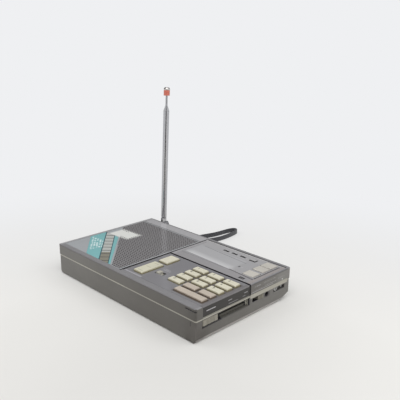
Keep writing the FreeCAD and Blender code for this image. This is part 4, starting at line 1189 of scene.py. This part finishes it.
@dataclass
class Strap(Piecework):
    """The wrist strap: a flat ribbon that stands on edge along its route."""

    width: float = 5.0
    thick: float = 1.4
    around: int = 20
    squareness: float = 0.35
    route: tuple[Point, ...] = (
        (32.8, 110.2, 11.8), (28.6, 110.2, 11.8), (28.4, 116.0, 11.8), (27.2, 122.6, 11.2), (25.6, 132.0, 8.6),
        (24.6, 145.0, 4.8), (25.6, 158.0, 2.8), (28.6, 170.0, 2.6), (31.6, 180.0, 2.6), (33.2, 190.0, 2.6),
        (33.9, 202.0, 2.6), (35.6, 209.2, 2.6), (38.8, 212.0, 2.6), (42.2, 210.2, 2.6), (44.0, 204.6, 2.6),
        (45.2, 196.0, 2.6), (45.9, 185.6, 2.6), (45.4, 175.0, 2.6), (42.6, 165.8, 2.6), (39.6, 155.6, 3.0),
        (37.0, 144.0, 5.0), (35.2, 132.0, 8.6), (34.2, 122.6, 11.2), (33.7, 116.0, 11.8), (33.4, 111.9, 11.8))

    def centre_line(self) -> np.ndarray:
        """Points of the route's smooth line, in case millimetres.

        Returns:
            One row per point.
        """
        curve = bpy.data.curves.new("strap_line", "CURVE")
        curve.dimensions = "3D"
        spline = curve.splines.new("NURBS")
        spline.points.add(len(self.route) - 1)
        for point, (x, y, z) in zip(spline.points, self.route):
            point.co = (x, y, z, 1.0)
        spline.order_u = 3
        spline.use_endpoint_u = True
        spline.resolution_u = 8
        source = bpy.data.objects.new("strap_line", curve)
        mesh = bpy.data.meshes.new_from_object(source)
        points = np.empty(len(mesh.vertices) * 3, dtype=np.float32)
        mesh.vertices.foreach_get("co", points)
        bpy.data.objects.remove(source)
        bpy.data.meshes.remove(mesh)
        return points.reshape(-1, 3).astype(float)

    def ribbon(self) -> tuple[bpy.types.Object, np.ndarray]:
        """The ribbon: a rounded oblong section carried along the line, upright at every point.

        The section is a superellipse: across is half the thickness times cos to a small power, and up is half
        the width times sin to a small power, so that its faces are flat and its edges are round.

        Returns:
            The ribbon, and the points of its line in metres.
        """
        line = self.centre_line()
        ahead = np.gradient(line, axis=0)
        side = np.stack([ahead[:, 1], -ahead[:, 0], np.zeros(len(line))], axis=-1)
        side /= np.linalg.norm(side, axis=1, keepdims=True)
        turn = (np.arange(self.around) + 0.5) / self.around * 2 * math.pi
        flat = np.sign(np.cos(turn)) * np.abs(np.cos(turn)) ** self.squareness * self.thick / 2
        high = np.sign(np.sin(turn)) * np.abs(np.sin(turn)) ** self.squareness * self.width / 2
        points = line[:, None, :] + side[:, None, :] * flat[None, :, None]
        points = points + np.array([0.0, 0.0, 1.0]) * high[None, :, None]
        rings = len(line)
        start = np.arange(self.around)
        end = start[::-1] + (rings - 1) * self.around
        piece = mesh_piece("wrist_ribbon", points.reshape(-1, 3), tube_faces(rings, self.around), start[None],
                           end[None], smooth=True)
        self.unroll(piece, rings)
        return piece, place(line)

    def unroll(self, piece: bpy.types.Object, rings: int) -> None:
        """Gives the ribbon a flat map: u runs along it and v runs around it.

        Args:
            piece: The ribbon.
            rings: How many rings of points it has.
        """
        layer = piece.data.uv_layers.new(name="ribbon")
        numbers = np.empty(len(piece.data.loops), dtype=np.int32)
        piece.data.loops.foreach_get("vertex_index", numbers)
        flat = np.stack([(numbers // self.around) / rings, (numbers % self.around) / self.around], axis=-1)
        layer.data.foreach_set("uv", flat.astype(np.float32).ravel())

    def build(self) -> None:
        piece, line = self.ribbon()
        self.add(piece, STRAP_WEAVE, "case", "strap_black")
        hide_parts("wrist_strap")
        length = float(np.linalg.norm(np.diff(line, axis=0), axis=1).sum())
        log.info("strap line %.4f m", length)


@dataclass
class Inside(Piecework):
    """What the case holds: board, mat, cells and contacts."""

    def build(self) -> None:
        """Dresses the inner nodes."""
        self.dress(BOARD_LACQUER, "circuit_board")
        self.dress(MAT_SILICONE, "key_mat")
        self.dress(CELL_WRAP, "batteries")
        self.dress(STEEL, "battery_contacts")


@dataclass
class Studio:
    """The pale table, the light and the camera."""

    eye: Point = (0.3550, -0.32529, 0.22243)
    yaw: float = 134.656
    pitch: float = 16.357
    roll: float = 0.847
    focal_px: float = 562.27
    image_px: float = 400.0
    backdrop: Colour = (239, 240, 242)
    table: Colour = (226, 225, 222)
    sky: float = 0.52
    table_size: float = 12.0
    shade_middle: Point = (0.15, -0.15, 0.0)
    shade_reach: tuple[float, float] = (0.07, 0.22)
    fade_reach: tuple[float, float] = (0.16, 0.56)
    aim_height: float = 0.02
    lamps: tuple[tuple[str, Point, float, float], ...] = (
        ("front", (0.5, -0.5, 1.1), 1.0, 8.0), ("left", (-0.55, -0.6, 0.7), 0.7, 1.5),
        ("right", (0.75, 0.3, 0.8), 0.7, 2.4))
    toward_viewer: tuple[float, float] = (0.75, -0.66)
    sideways: tuple[float, float] = (0.66, 0.75)
    fan_foot: tuple[float, float] = (-0.079, 0.0583)
    fan: tuple[tuple[float, float], ...] = ((0.2, -0.09), (1.9, -0.8), (1.9, 0.45), (0.2, 0.05))
    fan_height: float = 0.0006
    screen_away: float = 1.5
    screen_half: float = 2.4
    screen_heights: tuple[float, float] = (0.1, 2.2)

    def camera(self) -> None:
        """Sets the camera at the photograph's place and angle.

        The view direction is (cos yaw cos pitch, sin yaw cos pitch, -sin pitch), and the roll turns the
        picture about that direction.
        """
        yaw, pitch, roll = (math.radians(v) for v in (self.yaw, self.pitch, self.roll))
        ahead = Vector((math.cos(yaw) * math.cos(pitch), math.sin(yaw) * math.cos(pitch), -math.sin(pitch)))
        right = Vector((math.sin(yaw), -math.cos(yaw), 0.0))
        up = right.cross(ahead)
        right_rolled = right * math.cos(roll) + up * math.sin(roll)
        up_rolled = up * math.cos(roll) - right * math.sin(roll)
        turn = Matrix((right_rolled, up_rolled, -ahead)).transposed()
        lens = bpy.data.cameras.new("camera")
        lens.sensor_width = 36.0
        lens.lens = self.focal_px / self.image_px * lens.sensor_width
        lens.clip_start = 0.01
        lens.clip_end = 50.0
        camera = bpy.data.objects.new("camera", lens)
        camera.matrix_world = Matrix.Translation(self.eye) @ turn.to_4x4()
        bpy.context.scene.collection.objects.link(camera)
        bpy.context.scene.camera = camera

    def lamp(self, name: str, where: Point, size: float, power: float) -> None:
        """Adds a square soft lamp that faces the radio.

        Args:
            name: The lamp's name.
            where: Its place in metres.
            size: Its side in metres.
            power: Its power in watts.
        """
        light = bpy.data.lights.new(name, "AREA")
        light.size = size
        light.energy = power
        lamp = bpy.data.objects.new(name, light)
        lamp.location = where
        aim = Vector((0.0, 0.0, self.aim_height)) - Vector(where)
        lamp.rotation_euler = aim.to_track_quat("-Z", "Y").to_euler()
        bpy.context.scene.collection.objects.link(lamp)

    def floor(self) -> None:
        """Lays a pale table, a little darker about the shade's middle as painted shade, that fades to the
        backdrop's colour.
        """
        bpy.ops.mesh.primitive_plane_add(size=self.table_size, location=(0.0, 0.0, 0.0))
        floor = bpy.context.object
        floor.name = "table_top"
        sheet = ShaderSheet("table_top")
        length = sheet.node("ShaderNodeVectorMath", operation="DISTANCE")
        sheet.feed(length.inputs[0], sheet.coords)
        length.inputs[1].default_value = self.shade_middle
        # Painted shade: the table is darker about shade_middle, in front of the radio, against the front
        # lamp's pool of light; slow noise mottles it.
        away = sheet.spread(length.outputs["Value"], *self.shade_reach, 0.0, 1.0)
        shade_and_mottle = sheet.sum("ADD", away, sheet.spread(sheet.noise(140.0, 4.0), 0.3, 0.7, -0.1, 0.1))
        tone = sheet.blend(shade_and_mottle, display_colour(self.table, 0.93), display_colour(self.table, 1.05))
        sheet.feed(sheet.surface.inputs["Base Color"], tone)
        sheet.surface.inputs["Roughness"].default_value = 0.6
        sheet.surface.inputs["Specular IOR Level"].default_value = 0.0
        glow = sheet.node("ShaderNodeEmission")
        glow.inputs["Color"].default_value = display_colour(self.backdrop)
        far = sheet.node("ShaderNodeMapRange", interpolation_type="SMOOTHSTEP")
        far.inputs["From Min"].default_value = self.fade_reach[0]
        far.inputs["From Max"].default_value = self.fade_reach[1]
        sheet.feed(far.inputs["Value"], length.outputs["Value"])
        fade = sheet.node("ShaderNodeMixShader")
        sheet.feed(fade.inputs[0], far.outputs["Result"])
        sheet.feed(fade.inputs[1], sheet.surface.outputs[0])
        sheet.feed(fade.inputs[2], glow.outputs[0])
        sheet.feed(sheet.tree.nodes["Material Output"].inputs["Surface"], fade.outputs[0])
        floor.data.materials.append(sheet.material)

    def card(self, name: str, corners: list[Point], finish: Finish) -> None:
        """Sets up a plain card that only reflections see.

        Args:
            name: The card's name.
            corners: Its four corners in metres.
            finish: What it is made of.
        """
        mesh = bpy.data.meshes.new(name)
        mesh.from_pydata(corners, [], [(0, 1, 2, 3)])
        mesh.materials.append(finish.material())
        card = bpy.data.objects.new(name, mesh)
        bpy.context.scene.collection.objects.link(card)
        card.visible_camera = False
        card.visible_diffuse = False
        card.visible_transmission = False
        card.visible_shadow = False

    def cards(self) -> None:
        """Lays a dark card in front for the bright metal, and stands a grey one behind for the glossy face.

        Each corner of the first is the foot plus its reach toward the viewer and its distance sideways.
        """
        ahead, across, foot = (np.array(pair) for pair in (self.toward_viewer, self.sideways, self.fan_foot))
        fan = [foot + ahead * reach + across * wide for reach, wide in self.fan]
        self.card("floor_card", [(x, y, self.fan_height) for x, y in fan], SOFT_RUBBER)
        left = -ahead * self.screen_away - across * self.screen_half
        right = -ahead * self.screen_away + across * self.screen_half
        low, high = self.screen_heights
        self.card("back_card", [(*left, low), (*right, low), (*right, high), (*left, high)], BACK_GREY)

    def air(self) -> None:
        """Sets the world: a soft sky for light, and the backdrop's plain colour where the camera looks."""
        world = bpy.data.worlds.new("studio")
        bpy.context.scene.world = world
        world.use_nodes = True
        tree = world.node_tree
        nodes = tree.nodes
        sky = nodes["Background"]
        sky.inputs["Color"].default_value = (1.0, 1.0, 1.0, 1.0)
        sky.inputs["Strength"].default_value = self.sky
        seen = nodes.new("ShaderNodeBackground")
        seen.inputs["Color"].default_value = display_colour(self.backdrop)
        seen.inputs["Strength"].default_value = 1.0
        path = nodes.new("ShaderNodeLightPath")
        either = nodes.new("ShaderNodeMath")
        either.operation = "MAXIMUM"
        tree.links.new(path.outputs["Is Camera Ray"], either.inputs[0])
        tree.links.new(path.outputs["Is Glossy Ray"], either.inputs[1])
        mix = nodes.new("ShaderNodeMixShader")
        tree.links.new(either.outputs[0], mix.inputs[0])
        tree.links.new(sky.outputs[0], mix.inputs[1])
        tree.links.new(seen.outputs[0], mix.inputs[2])
        tree.links.new(mix.outputs[0], nodes["World Output"].inputs["Surface"])

    def build(self) -> None:
        """Builds the studio."""
        bpy.context.scene.view_settings.view_transform = "Standard"
        self.camera()
        self.air()
        self.floor()
        self.cards()
        for name, where, size, power in self.lamps:
            self.lamp(name, where, size, power)


def main() -> None:
    """Builds every sub-assembly in order."""
    logging.basicConfig(level=logging.INFO, format="%(name)s: %(message)s")
    Studio().build()
    for assembly in (Strap(), Housing(), SpeakerFront(), Keypad(), Display(), RightEnd(), Antenna(), Inside()):
        assembly.build()


if __name__ == "__main__":
    main()
